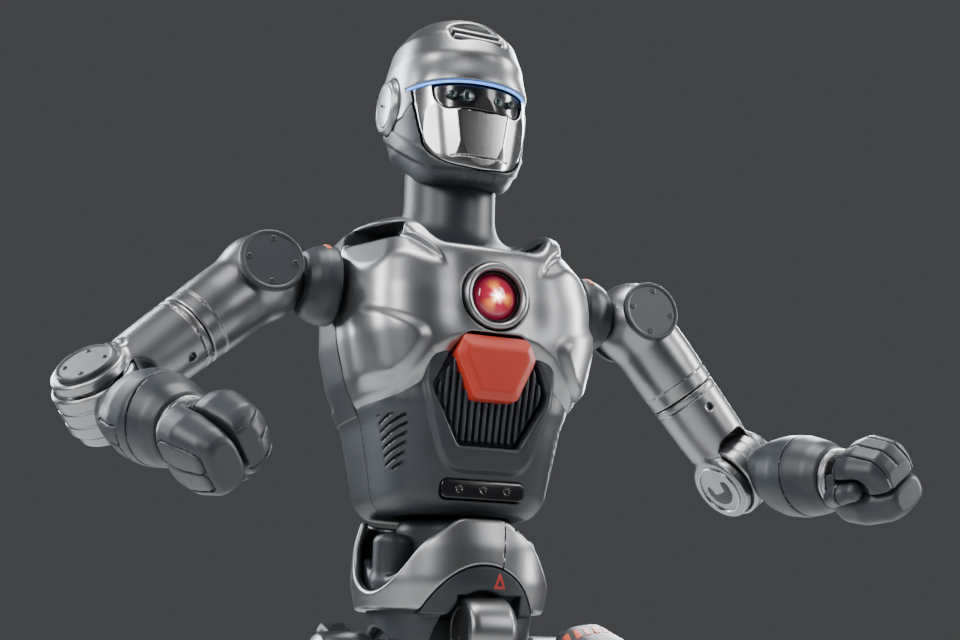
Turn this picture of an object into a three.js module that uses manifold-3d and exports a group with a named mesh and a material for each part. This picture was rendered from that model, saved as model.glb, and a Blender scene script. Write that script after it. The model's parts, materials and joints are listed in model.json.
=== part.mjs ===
// A humanoid robot kit of 24 joints, standing with one leg forward and both arms spread and bent.
// Millimetres, +Z up, +X to the robot's left, the robot faces -Y. The exported group has its origin
// under the middle of the robot, on the floor.
// Every body of the robot is a group whose own origin lies on its joint, nested in its parent's group.
import * as THREE from "three";
import { mergeVertices } from "three/addons/utils/BufferGeometryUtils.js";
import Module from "manifold-3d";

const wasm = await Module();
wasm.setup();

// ---------- Driving dimensions ----------

const GAP = 0.4; // clearance between touching pieces
const WALL = 7; // thickness of the torso and pelvis shells
const SIDES = 20; // facets round the torso and the head
const ROUND = 16; // facets round a limb or a motor

// Heights over the hip pitch axis.
const PELVIS = { bottom: 62, top: 157, archLow: 10, archTop: 109, archHalf: 74 };
const SCOOP = { y: -28, z: 130, radius: 48 }; // the side cut-outs over the hips
const BELT = 26; // width of the dark band under the front arch
const WAIST = { bottom: 112, top: 160, radius: 60 };
const TORSO = { bottom: 163, shellBottom: 262, shoulder: 410, frameTop: 446 };
const NECK = { y: 28, bottom: 446, waist: 492, top: 562, radius: 54, flare: 72 };
const HEAD = { seam: 612, chin: 531, top: 753, lift: 5 };
const LAMP = { z: 391, y: -122, radius: 37, lens: 27.4 };
const BADGE = { bottom: 277, top: 347, halfTop: 44, halfWide: 46, halfBottom: 24 };

// Arm: the ball's centre is SHOULDER_X from the middle plane.
const SHOULDER_X = 228;
const ARM = {
  ball: 48,
  cap: 36,
  seam: 105, // from the ball's centre to the turning seam
  upper: 220, // from the ball's centre to the elbow axis
  elbow: 38, // radius of the elbow cheeks
  fork: 24.5, // half the gap between the cheeks
  cheek: 37, // half the width over the cheeks
  hub: 44, // radius of the elbow motor
  wrist: 150, // from the elbow axis to the wrist seam
};

// Leg: the hip pitch axis starts HIP_X from the middle plane.
const HIP_X = 118;
const HIP_FACE = 90; // where the hip drums start, from the middle plane
const LEG = {
  roll: 50, // from the pitch axis down to the roll axis
  seam: 35, // from the roll axis down to the turning seam
  thigh: 195, // from that seam to the knee axis
  knee: 40,
  fork: 27.5,
  cheek: 41,
  hub: 29,
  shin: 280, // from the knee axis to the ankle axis
  ankle: 67, // from the ankle axis down to the floor
};

// The stance, in degrees: each joint's turn from the straight, arms-down posture.
const STANCE = {
  right: {
    shoulderPitch: -11,
    shoulderRoll: 47.2,
    shoulderYaw: 37.8,
    elbow: -88.4,
    wrist: 0,
    hipPitch: 19.36,
    hipRoll: 20.74,
    hipYaw: -18.53,
    knee: 39.97,
    anklePitch: -53.24,
    ankleRoll: -24.97,
  },
  left: {
    shoulderPitch: -6,
    shoulderRoll: -37.5,
    shoulderYaw: 2.5,
    elbow: -72.1,
    wrist: 0,
    hipPitch: -61.7,
    hipRoll: -22.79,
    hipYaw: 3.8,
    knee: 64.67,
    anklePitch: -0.81,
    ankleRoll: 7.17,
  },
};

// ---------- Materials ----------

const finish = (color, roughness, metalness) =>
  new THREE.MeshStandardMaterial({ color, roughness, metalness });

const SILVER = finish(0x8d9092, 0.32, 0.85);
const DARK = finish(0x23282f, 0.5, 0.1);
const STEEL = finish(0xb4b7ba, 0.25, 1);
const BLACK = finish(0x050506, 0.12, 0);
const RED = finish(0xa52c1c, 0.4, 0.1);
const RUBBER = finish(0x151515, 0.85, 0);
const LIGHT = finish(0x4f8fe8, 0.3, 0);
const LENS = finish(0xb01838, 0.08, 0);

// ---------- Solids ----------

// A geometry as a solid: only the positions are kept, with the shared vertices merged.
function solidOf(geometry) {
  const bare = new THREE.BufferGeometry();
  bare.setAttribute("position", geometry.getAttribute("position"));
  if (geometry.index) bare.setIndex(geometry.index);
  const merged = mergeVertices(bare, 1e-3);
  return new wasm.Manifold(
    new wasm.Mesh({
      numProp: 3,
      vertProperties: new Float32Array(merged.attributes.position.array),
      triVerts: new Uint32Array(merged.index.array),
    }),
  );
}

function geometryOf(solid) {
  const mesh = solid.getMesh();
  const geometry = new THREE.BufferGeometry();
  geometry.setAttribute("position", new THREE.BufferAttribute(mesh.vertProperties, 3));
  geometry.setIndex(new THREE.BufferAttribute(mesh.triVerts, 1));
  return geometry;
}

const join = (...parts) =>
  geometryOf(parts.map(solidOf).reduce((sum, part) => sum.add(part)));
const cut = (body, ...tools) =>
  geometryOf(tools.map(solidOf).reduce((left, tool) => left.subtract(tool), solidOf(body)));
const meet = (a, b) => geometryOf(solidOf(a).intersect(solidOf(b)));
const moved = (geometry, x, y, z) => geometry.clone().translate(x, y, z);

// A block from its lowest to its highest corner.
function block(low, high) {
  const box = new THREE.BoxGeometry(high[0] - low[0], high[1] - low[1], high[2] - low[2]);
  return box.translate((low[0] + high[0]) / 2, (low[1] + high[1]) / 2, (low[2] + high[2]) / 2);
}

// A turned piece: profile is a list of [radius, height], starting and ending at radius 0.
function turned(profile, sides = ROUND) {
  const points = profile.map(([radius, height]) => new THREE.Vector2(radius, height));
  return new THREE.LatheGeometry(points, sides).rotateX(Math.PI / 2);
}

// A drum between two heights, chamfered at its rims where it shows.
function drum(radius, low, high, chamfer = 0) {
  if (!chamfer) return turned([[0, low], [radius, low], [radius, high], [0, high]]);
  return turned([
    [0, low],
    [radius - chamfer, low],
    [radius, low + chamfer],
    [radius, high - chamfer],
    [radius - chamfer, high],
    [0, high],
  ]);
}

const alongX = (geometry) => geometry.rotateY(Math.PI / 2);
const alongY = (geometry) => geometry.rotateX(-Math.PI / 2);

// One ring of a loft: an ellipse, squarer as power grows.
function ring([z, halfWidth, halfDepth, y = 0, power = 2], sides) {
  const points = [];
  for (let i = 0; i < sides; i++) {
    const turn = (2 * Math.PI * i) / sides;
    const across = Math.cos(turn);
    const deep = Math.sin(turn);
    points.push(
      halfWidth * Math.sign(across) * Math.abs(across) ** (2 / power),
      y + halfDepth * Math.sign(deep) * Math.abs(deep) ** (2 / power),
      z,
    );
  }
  return points;
}

// A closed loft through rings given from the lowest to the highest.
function loft(sections, sides = ROUND) {
  const rising = sections[0][0] < sections[sections.length - 1][0];
  const rings = rising ? sections : [...sections].reverse();
  const positions = rings.flatMap((section) => ring(section, sides));
  const first = rings[0];
  const last = rings[rings.length - 1];
  positions.push(0, first[3] ?? 0, first[0], 0, last[3] ?? 0, last[0]);
  const bottom = rings.length * sides;
  const faces = [];
  for (let i = 0; i < sides; i++) {
    const next = (i + 1) % sides;
    for (let r = 0; r + 1 < rings.length; r++) {
      const low = r * sides;
      const high = low + sides;
      faces.push(low + i, low + next, high + next, low + i, high + next, high + i);
    }
    const top = (rings.length - 1) * sides;
    faces.push(bottom, next, i, bottom + 1, top + i, top + next);
  }
  const geometry = new THREE.BufferGeometry();
  geometry.setAttribute("position", new THREE.Float32BufferAttribute(positions, 3));
  geometry.setIndex(faces);
  return geometry;
}

const inset = (sections, by) =>
  sections.map(([z, width, depth, y, power]) => [z, width - by, depth - by, y, power]);

// An outline in X and Z, as a plate between two depths along Y.
function plate(outline, front, back) {
  const shape = new THREE.Shape(outline.map(([x, z]) => new THREE.Vector2(x, z)));
  const geometry = new THREE.ExtrudeGeometry(shape, { depth: back - front, bevelEnabled: false });
  return geometry.rotateX(Math.PI / 2).translate(0, back, 0);
}

// ---------- The tree of bodies ----------

const degrees = THREE.MathUtils.degToRad;

// A moving body: its origin in its parent, its turn in the stance, and its joint.
function body(parent, name, joint, at, axis, rest, low, high) {
  const group = new THREE.Group();
  group.name = name;
  group.position.set(...at);
  group.quaternion.setFromAxisAngle(new THREE.Vector3(...axis), degrees(rest));
  group.userData = { joint, axis, low, high };
  parent.add(group);
  return group;
}

function add(group, name, geometry, material) {
  const mesh = new THREE.Mesh(geometry, material.clone());
  mesh.name = name;
  mesh.geometry.computeVertexNormals();
  group.add(mesh);
}

// ---------- Pelvis ----------

function addPelvis(pelvis) {
  const outer = [
    [PELVIS.bottom, 100, 98, 0, 2.2],
    [92, 106, 104, 0, 2.2],
    [130, 104, 102, 0, 2.2],
    [PELVIS.top, 97, 95, 0, 2.2],
  ];
  const hollow = inset(outer, WALL);
  hollow[0][0] -= 1;
  hollow[hollow.length - 1][0] += 1;
  const arch = (by) => {
    const tall = (PELVIS.archTop - PELVIS.archLow - by) / (PELVIS.archHalf - by);
    return alongY(drum(PELVIS.archHalf - by, -150, 0)).scale(1, 1, tall).translate(0, 0, PELVIS.archLow);
  };
  const scoops = join(
    alongX(drum(SCOOP.radius, -150, 150)).translate(0, SCOOP.y, SCOOP.z),
    block([-150, SCOOP.y - SCOOP.radius, SCOOP.z], [150, SCOOP.y + SCOOP.radius, 180]),
  );
  add(pelvis, "pelvis_shell", cut(loft(outer, SIDES), loft(hollow, SIDES), arch(0), scoops), SILVER);

  const belt = cut(
    meet(loft(inset(outer, 1), SIDES), arch(GAP)),
    loft(hollow, SIDES),
    arch(BELT),
    block([-150, -60, 0], [150, 150, 200]),
  );
  const coverRoom = alongX(drum(36, -25, 41)).translate(0, -88, 42);
  const frame = join(
    block([-74, -44, -18], [74, 52, 58]),
    alongX(drum(35, -78, 78)),
    alongX(drum(22, -HIP_FACE + GAP, HIP_FACE - GAP)),
    drum(50, 50, WAIST.bottom - GAP),
    belt,
    block([-12, -95, 84], [12, -40, 102]),
  );
  add(pelvis, "pelvis_frame", cut(frame, coverRoom), DARK);

  add(
    pelvis,
    "crotch_cover",
    alongX(drum(35, -24, 40, 5)).translate(0, -88, 42),
    SILVER,
  );
  add(pelvis, "waist_motor", drum(WAIST.radius, WAIST.bottom, WAIST.top), STEEL);
}

// ---------- Torso ----------

const TORSO_SECTIONS = [
  [TORSO.bottom, 84, 90, 14, 3.4],
  [178, 95, 102, 14, 3.6],
  [220, 102, 113, 14, 3.6],
  [TORSO.shellBottom, 110, 121, 14, 3.6],
  [305, 129, 130, 14, 3.8],
  [350, 140, 132, 14, 3.8],
  [395, 143, 130, 14, 3.6],
  [440, 142, 122, 14, 3.2],
  [472, 135, 106, 14, 2.8],
  [490, 106, 86, 16, 2.3],
  [500, 66, 64, 24, 2],
];

// The V-shaped panel that carries the ribs under the badge, as an outline in X and Z.
const PANEL = [
  [-41, 352],
  [-51, 328],
  [-66, 304],
  [-64, 286],
  [-34, 232],
  [34, 232],
  [64, 286],
  [66, 304],
  [51, 328],
  [41, 352],
];

const grow = (outline, by, middle) =>
  outline.map(([x, z]) => [x + Math.sign(x) * by, z + Math.sign(z - middle) * by]);

// A drum round the neck's own axis.
const neckColumn = (radius, low, high) => drum(radius, low, high).translate(0, NECK.y, 0);

function addTorso(torso) {
  const reach = 200;
  const outer = loft(TORSO_SECTIONS, SIDES);
  const inner = inset(TORSO_SECTIONS, WALL);
  inner[0][0] -= 1;
  inner[inner.length - 2][0] -= WALL - 1;
  inner[inner.length - 1][0] -= WALL;
  const shell = cut(outer, loft(inner, SIDES), neckColumn(NECK.flare, NECK.bottom, 520));
  const seam = TORSO.shellBottom;
  const window = plate(grow(PANEL, GAP, 292), -reach, -60);

  // Grab slots through the chest's shoulders, each a hand's width along the neck's side.
  const slots = [-1, 1].map((side) =>
    block([side * 92 - 24, -62, 440], [side * 92 + 24, -26, 520]),
  );
  const front = block([-reach, -reach, seam + GAP], [reach, -GAP / 2, 600]);
  const lampHole = alongY(drum(LAMP.radius + GAP, -reach, -60)).translate(0, 0, LAMP.z);
  add(torso, "chest_shell", cut(meet(shell, front), window, lampHole, ...slots), SILVER);

  const rear = block([-reach, GAP / 2, seam + GAP], [reach, reach, 600]);
  const mounts = [-1, 1].map((side) => block([side * 66 - 7, 118, 356], [side * 66 + 7, 160, 392]));
  add(torso, "back_shell", cut(meet(shell, rear), ...mounts), DARK);

  const low = block([-reach, -reach, 0], [reach, reach, seam]);
  const sensorSlot = block([-47, -reach, 176], [47, -60, 198]);
  add(torso, "abdomen_shell", cut(meet(shell, low), window, sensorSlot), DARK);

  // The inner frame: gearboxes, computer and wiring bay as one cast block with a battery bay.
  const core = inset(TORSO_SECTIONS, WALL + GAP).filter(([z]) => z < TORSO.frameTop);
  core.push([TORSO.frameTop, 130, 109, 14, 2.6]);
  core[0][0] += 2;
  const bay = block([-52, 50, 270], [52, reach, 400]);
  const panelRoom = plate(grow(PANEL, GAP, 292), -reach, -92);
  const lampRoom = alongY(drum(LAMP.radius + GAP, -reach, -92)).translate(0, 0, LAMP.z);
  const sensorRoom = block([-47, -reach, 176], [47, -70, 198]);
  const frame = cut(loft(core, SIDES), bay, panelRoom, lampRoom, sensorRoom);
  add(torso, "torso_frame", cut(frame, ...mounts), DARK);
  add(
    torso,
    "battery_pack",
    block([-52 + GAP, 50 + GAP, 270 + GAP], [52 - GAP, 118, 400 - GAP]),
    DARK,
  );

  // Ribbed panel: a plate with standing ribs.
  const backing = meet(
    plate(PANEL, -150, -92 - GAP),
    loft(inset(TORSO_SECTIONS, 5), SIDES),
  );
  const ribs = [];
  for (let x = -45; x <= 45; x += 15) {
    const foot = 246 + Math.max(0, Math.abs(x) - 26) * 1.6;
    ribs.push(block([x - 3, -116, foot], [x + 3, -95, 332]));
  }
  const ribRoom = loft(inset(TORSO_SECTIONS, 1.5), SIDES);
  const badgeOutline = [
    [-BADGE.halfTop + 8, BADGE.top],
    [-BADGE.halfWide, BADGE.top - 22],
    [-BADGE.halfBottom, BADGE.bottom],
    [BADGE.halfBottom, BADGE.bottom],
    [BADGE.halfWide, BADGE.top - 22],
    [BADGE.halfTop - 8, BADGE.top],
  ];
  const badgeRoom = plate(grow(badgeOutline, GAP, 312), -150, -110);
  const ribbed = cut(join(backing, meet(join(...ribs), ribRoom)), badgeRoom);
  add(torso, "chest_grille", ribbed, DARK);
  add(torso, "chest_badge", plate(badgeOutline, -124, -110 - GAP), RED);

  // Lamp: a ring set in the chest, and a domed lens inside it.
  const bezel = cut(
    alongY(drum(LAMP.radius, LAMP.y, -92 - GAP, 3)),
    alongY(drum(LAMP.lens + GAP, -150, -96)),
  ).translate(0, 0, LAMP.z);
  add(torso, "lamp_bezel", bezel, STEEL);
  const lens = turned([
    [0, -120],
    [14, -118.5],
    [23, -114],
    [LAMP.lens, -108],
    [LAMP.lens, -98],
    [0, -98],
  ]);
  add(torso, "chest_lamp", alongY(lens).translate(0, 0, LAMP.z), LENS);

  add(
    torso,
    "sensor_window",
    block([-47 + GAP, -95, 176 + GAP], [47 - GAP, -70 - GAP, 198 - GAP]),
    BLACK,
  );

  const column = turned([
    [0, NECK.bottom + GAP],
    [NECK.flare - GAP, NECK.bottom + GAP],
    [NECK.flare - GAP, NECK.bottom + 6],
    [NECK.flare - 15, 464],
    [NECK.radius + 3, 478],
    [NECK.radius, NECK.waist],
    [NECK.radius, NECK.top],
    [0, NECK.top],
  ]);
  add(torso, "neck_column", column.translate(0, NECK.y, 0), DARK);

  // A bent tube across the back, for lifting the robot.
  const bend = new THREE.CatmullRomCurve3(
    [
      [-66, 142, 374],
      [-66, 160, 374],
      [-58, 172, 374],
      [-40, 177, 374],
      [40, 177, 374],
      [58, 172, 374],
      [66, 160, 374],
      [66, 142, 374],
    ].map((p) => new THREE.Vector3(...p)),
  );
  const round = new THREE.Shape();
  round.absarc(0, 0, 6, 0, 2 * Math.PI, true);
  const tube = new THREE.ExtrudeGeometry(round, {
    extrudePath: bend,
    steps: 14,
    curveSegments: 8,
    bevelEnabled: false,
  });
  const feet = [-1, 1].map((side) =>
    block([side * 66 - 6.6, 126, 357], [side * 66 + 6.6, 148, 391]),
  );
  add(torso, "rear_handle", join(tube, ...feet), STEEL);
}

// ---------- Head ----------

const HEAD_SECTIONS = [
  [HEAD.chin, 40, 44, -42, 2.2],
  [540, 50, 54, -38, 2.2],
  [552, 60, 64, -32, 2.2],
  [580, 74, 86, -16, 2.2],
  [HEAD.seam, 79, 96, -9, 2.2],
  [645, 80, 99, -4, 2.2],
  [682, 78, 97, -2, 2.1],
  [712, 70, 86, 0, 2.1],
  [735, 52, 64, 2, 2],
  [748, 28, 36, 4, 2],
  [HEAD.top, 8, 10, 4, 2],
];

function addHead(head) {
  const reach = 200;
  const solid = loft(HEAD_SECTIONS, SIDES);
  const neckRoom = drum(NECK.radius + 4, 480, NECK.top + 4 - HEAD.lift);
  const mask = { low: [-62, -reach, 544], high: [62, -56, 611] };
  const camera = { low: [-53, -112, 612], high: [53, -66, 641] };
  const strip = { low: [-70, -112, 642], high: [70, -48, 646] };
  const vent = { low: [-36, -110, 700], high: [36, -56, 740] };
  const room = ({ low, high }) => block(low, high);
  const filled = ({ low, high }) =>
    block(low.map((v) => v + GAP), high.map((v) => v - GAP));

  const above = block([-reach, -reach, HEAD.seam], [reach, reach, 800]);
  const discRooms = [-1, 1].map((side) =>
    alongX(drum(33, 70, 120)).rotateZ(side < 0 ? Math.PI : 0).translate(0, 2, 637),
  );
  const cranium = cut(
    meet(solid, above),
    room(camera),
    room(strip),
    room(vent),
    ...discRooms,
  );
  add(head, "head_shell", cranium, SILVER);

  const below = block([-reach, -reach, 400], [reach, reach, HEAD.seam - GAP]);
  const jaw = cut(meet(solid, below), neckRoom, room(mask), room(camera), ...discRooms);
  add(head, "jaw_shell", jaw, DARK);
  add(head, "face_plate", cut(meet(solid, filled(mask)), neckRoom), STEEL);

  const lensRoom = loft(inset(HEAD_SECTIONS, -1), SIDES);
  add(head, "camera_window", meet(lensRoom, filled(camera)), BLACK);
  add(head, "light_strip", meet(lensRoom, filled(strip)), LIGHT);
  add(head, "head_vent", meet(loft(inset(HEAD_SECTIONS, 3), SIDES), filled(vent)), DARK);
  for (const [side, name] of [[-1, "right"], [1, "left"]]) {
    const disc = alongX(drum(33 - GAP, 70 + GAP, 87, 4));
    disc.rotateZ(side < 0 ? Math.PI : 0).translate(0, 2, 637);
    add(head, `ear_disc_${name}`, disc, SILVER);
  }
}

// ---------- Arms ----------

function addArm(torso, side, name, rest) {
  const end = (range) => (side < 0 ? range : [-range[1], -range[0]]);
  const link = body(torso, `shoulder_link_${name}`, `shoulder_pitch_${name}`,
    [side * SHOULDER_X, 0, TORSO.shoulder], [1, 0, 0], rest.shoulderPitch, -90, 45);
  const yoke = turned([
    [0, 30],
    [26, 34],
    [38, 44],
    [44, 60],
    [45, 81],
    [0, 81],
  ]);
  const socket = new THREE.SphereGeometry(ARM.ball + 2, ROUND, 10);
  add(link, `shoulder_yoke_${name}`,
    cut(alongX(yoke).rotateZ(side > 0 ? Math.PI : 0), socket), DARK);

  const roll = end([-25, 60]);
  const housing = body(link, `shoulder_${name}`, `shoulder_roll_${name}`,
    [0, 0, 0], [0, 1, 0], rest.shoulderRoll, ...roll);
  const faces = [-1, 1].map((way) =>
    block([-60, way > 0 ? 44 : -80, -60], [60, way > 0 ? 80 : -44, 60]),
  );
  const ball = new THREE.SphereGeometry(ARM.ball, ROUND, 10).rotateX(Math.PI / 2);
  const sleeve = loft([
    [-ARM.seam + GAP, 40, 40],
    [-70, 42, 42],
    [-20, 43, 43],
    [0, 42, 42],
  ]);
  add(housing, `shoulder_housing_${name}`, cut(join(ball, sleeve), ...faces), SILVER);
  add(housing, `shoulder_cap_${name}`, alongY(drum(ARM.cap, -50, -44 - GAP)), DARK);

  const yaw = end([-50, 50]);
  const upper = body(housing, `upper_arm_${name}`, `shoulder_yaw_${name}`,
    [0, 0, -ARM.seam], [0, 0, 1], rest.shoulderYaw, ...yaw);
  const axis = ARM.upper - ARM.seam;
  const sleeveEnd = loft([
    [-GAP, 40, 40],
    [-50, 39, 38],
    [-80, 37, 37],
    [-axis, 37, 36],
  ]);
  const eye = alongX(drum(ARM.elbow, -ARM.cheek, ARM.cheek)).translate(0, 0, -axis);
  const slot = block([-ARM.fork, -70, -axis - 60], [ARM.fork, 70, -axis + 50]);
  add(upper, `upper_arm_shell_${name}`, cut(join(sleeveEnd, eye), slot), SILVER);
  const cap = alongX(drum(31, ARM.cheek + GAP, ARM.cheek + 5, 1));
  add(upper, `elbow_cap_${name}`,
    cap.rotateZ(side < 0 ? Math.PI : 0).translate(0, 0, -axis), DARK);

  const forearm = body(upper, `forearm_${name}`, `elbow_${name}`,
    [0, 0, -axis], [1, 0, 0], rest.elbow, -18, 65);
  add(forearm, `elbow_motor_${name}`,
    alongX(drum(ARM.hub, -ARM.fork + GAP, ARM.fork - GAP)), STEEL);
  const sleeveLow = loft([
    [-ARM.wrist + GAP, 34, 34],
    [-136, 41, 41],
    [-110, 46, 46],
    [-86, 45, 46],
    [-60, 34, 38],
    [-36, 22, 27],
    [0, 20, 22],
  ]);
  const hubRoom = alongX(drum(ARM.hub + GAP, -60, 60));
  add(forearm, `forearm_shell_${name}`, cut(sleeveLow, hubRoom), DARK);

  const turn = end([-60, 60]);
  const hand = body(forearm, `hand_${name}`, `wrist_${name}`,
    [0, 0, -ARM.wrist], [0, 0, 1], rest.wrist, ...turn);
  add(hand, `wrist_ring_${name}`, drum(32, -11, -GAP), STEEL);
  const palm = loft([
    [-92, 20, 12, 18, 2.6],
    [-80, 32, 20, 20, 2.6],
    [-50, 40, 24, 20, 2.6],
    [-24, 40, 24, 18, 2.6],
    [-11 - GAP, 32, 24, 8, 2],
  ]);
  const thumb = loft([[-62, 8, 9], [-52, 12, 12], [-30, 12, 12], [-16, 7, 8]], 10);
  const thumbPlace = moved(thumb, -side * 40, -6, 0);
  const fingerRoom = block([-60, -60, -100], [60, 0, -20]);
  add(hand, `hand_palm_${name}`, join(cut(palm, fingerRoom), thumbPlace), DARK);
  const curl = loft([
    [-92, 22, 14, -8, 2.6],
    [-80, 32, 24, -14, 2.6],
    [-50, 38, 28, -16, 2.6],
    [-32, 36, 24, -14, 2.6],
    [-21, 24, 14, -10, 2.6],
  ]);
  const palmSide = block([-60, -GAP, -120], [60, 60, 0]);
  const thumbRoom = loft([[-66, 10, 11], [-52, 14, 14], [-30, 14, 14], [-12, 9, 10]], 10);
  add(hand, `hand_fingers_${name}`,
    cut(curl, palmSide, moved(thumbRoom, -side * 40, -6, 0)), DARK);
}

// ---------- Legs ----------

function addLeg(pelvis, side, name, rest) {
  const end = (range) => (side < 0 ? range : [-range[1], -range[0]]);
  const link = body(pelvis, `hip_link_${name}`, `hip_pitch_${name}`,
    [side * HIP_X, 0, 0], [1, 0, 0], rest.hipPitch, ...(side < 0 ? [-60, 15] : [-20, 60]));
  const inner = HIP_FACE - HIP_X;
  const dome = turned([
    [0, inner],
    [38, inner],
    [40, inner + 4],
    [40, 22],
    [36, 31],
    [24, 36],
    [0, 38],
  ]);
  const pitchDrum = alongX(dome).rotateZ(side < 0 ? Math.PI : 0);
  const bracket = plate([[-15, 30], [-15, -LEG.roll - 18], [15, -LEG.roll - 18], [15, 30]], 46, 56);
  const spine = block([-14, 20, 8], [14, 56, 34]);
  const rollRoom = alongY(drum(29, -46, 46 - GAP)).translate(0, 0, -LEG.roll);
  add(link, `hip_drum_${name}`, cut(join(pitchDrum, bracket, spine), rollRoom), SILVER);

  const cross = body(link, `hip_roll_link_${name}`, `hip_roll_${name}`,
    [0, 0, -LEG.roll], [0, 1, 0], rest.hipRoll, ...end([-20, 20]));
  add(cross, `hip_roll_motor_${name}`,
    join(alongY(drum(26, -40, 45)), drum(24, -LEG.seam + GAP, 0)), DARK);

  const thigh = body(cross, `thigh_${name}`, `hip_yaw_${name}`,
    [0, 0, -LEG.seam], [0, 0, 1], rest.hipYaw, ...end([-20, 20]));
  const column = loft([
    [-GAP, 40, 38],
    [-20, 48, 46],
    [-80, 50, 48],
    [-140, 44, 42],
    [-LEG.thigh, 41, 38],
  ]);
  const eye = alongX(drum(LEG.knee, -LEG.cheek, LEG.cheek)).translate(0, 0, -LEG.thigh);
  const slot = block([-LEG.fork, -80, -LEG.thigh - 60], [LEG.fork, 80, -LEG.thigh + 54]);
  const guardRoom = block([-60, -100, -116], [60, -36, 20]);
  add(thigh, `thigh_shell_${name}`, cut(join(column, eye), slot, guardRoom), SILVER);
  const guard = loft([
    [-115, 30, 8, -43, 3],
    [-90, 40, 13, -49, 3],
    [-24, 44, 22, -58, 3],
    [-4, 42, 24, -60, 3],
    [40, 38, 22, -62, 3],
  ]);
  const guardBack = join(
    block([-60, -36 - GAP, -130], [60, 40, 60]),
    block([-60, -49, 3], [60, 40, 60]),
  );
  add(thigh, `thigh_guard_${name}`, cut(guard, guardBack), DARK);

  const shin = body(thigh, `shin_${name}`, `knee_${name}`,
    [0, 0, -LEG.thigh], [1, 0, 0], rest.knee, ...(side < 0 ? [-30, 60] : [-55, 40]));
  const hub = alongX(drum(LEG.hub, -LEG.fork + GAP, LEG.fork - GAP));
  const calf = loft([
    [-LEG.shin + 44, 26, 25],
    [-200, 34, 36, 4],
    [-120, 42, 47, 8],
    [-80, 40, 44, 8],
    [-52, 27, 34, 4],
    [-30, 23, 26],
    [0, 22, 24],
  ]);
  const ankleEars = [-1, 1].map((way) => {
    const ear = join(
      alongX(drum(13, 27, 36)),
      block([27, -12, 0], [36, 12, 70]),
    );
    return ear.rotateZ(way < 0 ? Math.PI : 0).translate(0, 0, -LEG.shin);
  });
  const earBridge = loft([[-LEG.shin + 42, 35, 15, 0, 4], [-200, 33, 20, 0, 4]]);
  add(shin, `shin_shell_${name}`, join(hub, calf, earBridge, ...ankleEars), DARK);

  const ankle = body(shin, `ankle_link_${name}`, `ankle_pitch_${name}`,
    [0, 0, -LEG.shin], [1, 0, 0], rest.anklePitch, ...(side < 0 ? [-5, 40] : [-30, 20]));
  add(ankle, `ankle_cross_${name}`,
    join(alongX(drum(12, -26.5, 26.5)), alongY(drum(12, -24, 24))), STEEL);

  const foot = body(ankle, `foot_${name}`, `ankle_roll_${name}`,
    [0, 0, 0], [0, 1, 0], rest.ankleRoll, ...end([-5, 15]));
  const instep = loft([
    [-58 + GAP, 43, 112, -36, 3],
    [-52, 43, 112, -36, 3],
    [-42, 38, 96, -30, 2.6],
    [-37, 26, 56, -8, 2.4],
    [-34, 18, 38, 0, 2.2],
  ]);
  const lugs = [-1, 1].map((way) => {
    const lug = join(
      alongY(drum(12, 25, 34)),
      block([-11, 25, -45], [11, 34, 0]),
    );
    return way > 0 ? lug : lug.rotateZ(Math.PI);
  });
  add(foot, `foot_shell_${name}`, join(instep, ...lugs), DARK);
  const sole = loft([
    [-LEG.ankle, 42, 112, -36, 3],
    [-LEG.ankle + 3, 45, 115, -36, 3],
    [-58, 45, 115, -36, 3],
  ]);
  add(foot, `foot_sole_${name}`, sole, RUBBER);
}

// ---------- The robot ----------

const robot = new THREE.Group();
const pelvis = new THREE.Group();
pelvis.name = "pelvis";
robot.add(pelvis);
addPelvis(pelvis);

const torso = body(pelvis, "torso", "waist_yaw", [0, 0, 0], [0, 0, 1], 0, -60, 60);
addTorso(torso);
const head = body(torso, "head", "head_yaw", [0, NECK.y, HEAD.lift], [0, 0, 1], 0, -70, 70);
addHead(head);

for (const [side, name] of [[-1, "right"], [1, "left"]]) {
  addArm(torso, side, name, STANCE[name]);
  addLeg(pelvis, side, name, STANCE[name]);
}

// The origin goes under the middle of the whole robot, at floor height.
robot.updateMatrixWorld(true);
const extent = new THREE.Box3().setFromObject(robot, true);
pelvis.position.set(
  -(extent.min.x + extent.max.x) / 2,
  -(extent.min.y + extent.max.y) / 2,
  -extent.min.z,
);
robot.updateMatrixWorld(true);

export default robot;
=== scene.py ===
"""The looks of the humanoid robot kit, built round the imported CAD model.

Shapes are written in millimetres in the frame of the body that carries them, and are placed by
that body's joints, so every piece lies where the CAD has it. The robot faces -Y.
"""

import json
from math import cos, radians, sin, tau

import bmesh
import bpy
import numpy as np
import openvdb
from mathutils import Matrix, Vector


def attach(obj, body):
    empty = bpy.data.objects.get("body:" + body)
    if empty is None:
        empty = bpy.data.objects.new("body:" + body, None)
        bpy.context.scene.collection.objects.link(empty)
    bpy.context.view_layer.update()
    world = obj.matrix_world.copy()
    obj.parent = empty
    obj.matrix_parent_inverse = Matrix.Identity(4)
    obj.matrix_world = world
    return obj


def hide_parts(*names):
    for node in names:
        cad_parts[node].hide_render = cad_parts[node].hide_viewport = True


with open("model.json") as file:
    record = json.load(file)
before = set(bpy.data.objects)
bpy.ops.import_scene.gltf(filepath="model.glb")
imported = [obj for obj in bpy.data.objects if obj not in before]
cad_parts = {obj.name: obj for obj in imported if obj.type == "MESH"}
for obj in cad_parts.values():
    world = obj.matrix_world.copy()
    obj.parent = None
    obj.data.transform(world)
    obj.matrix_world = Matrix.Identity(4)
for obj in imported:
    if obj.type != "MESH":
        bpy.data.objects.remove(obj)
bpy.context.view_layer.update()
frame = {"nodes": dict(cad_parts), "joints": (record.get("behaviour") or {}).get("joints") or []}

MM = 0.001
CREASE = 32  # degrees; an edge sharper than this stays sharp on a mesh of flat faces
SIDES = {"right": -1, "left": 1}
joints = {joint["name"]: joint for joint in frame["joints"]}


# ---------- Places ----------

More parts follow.
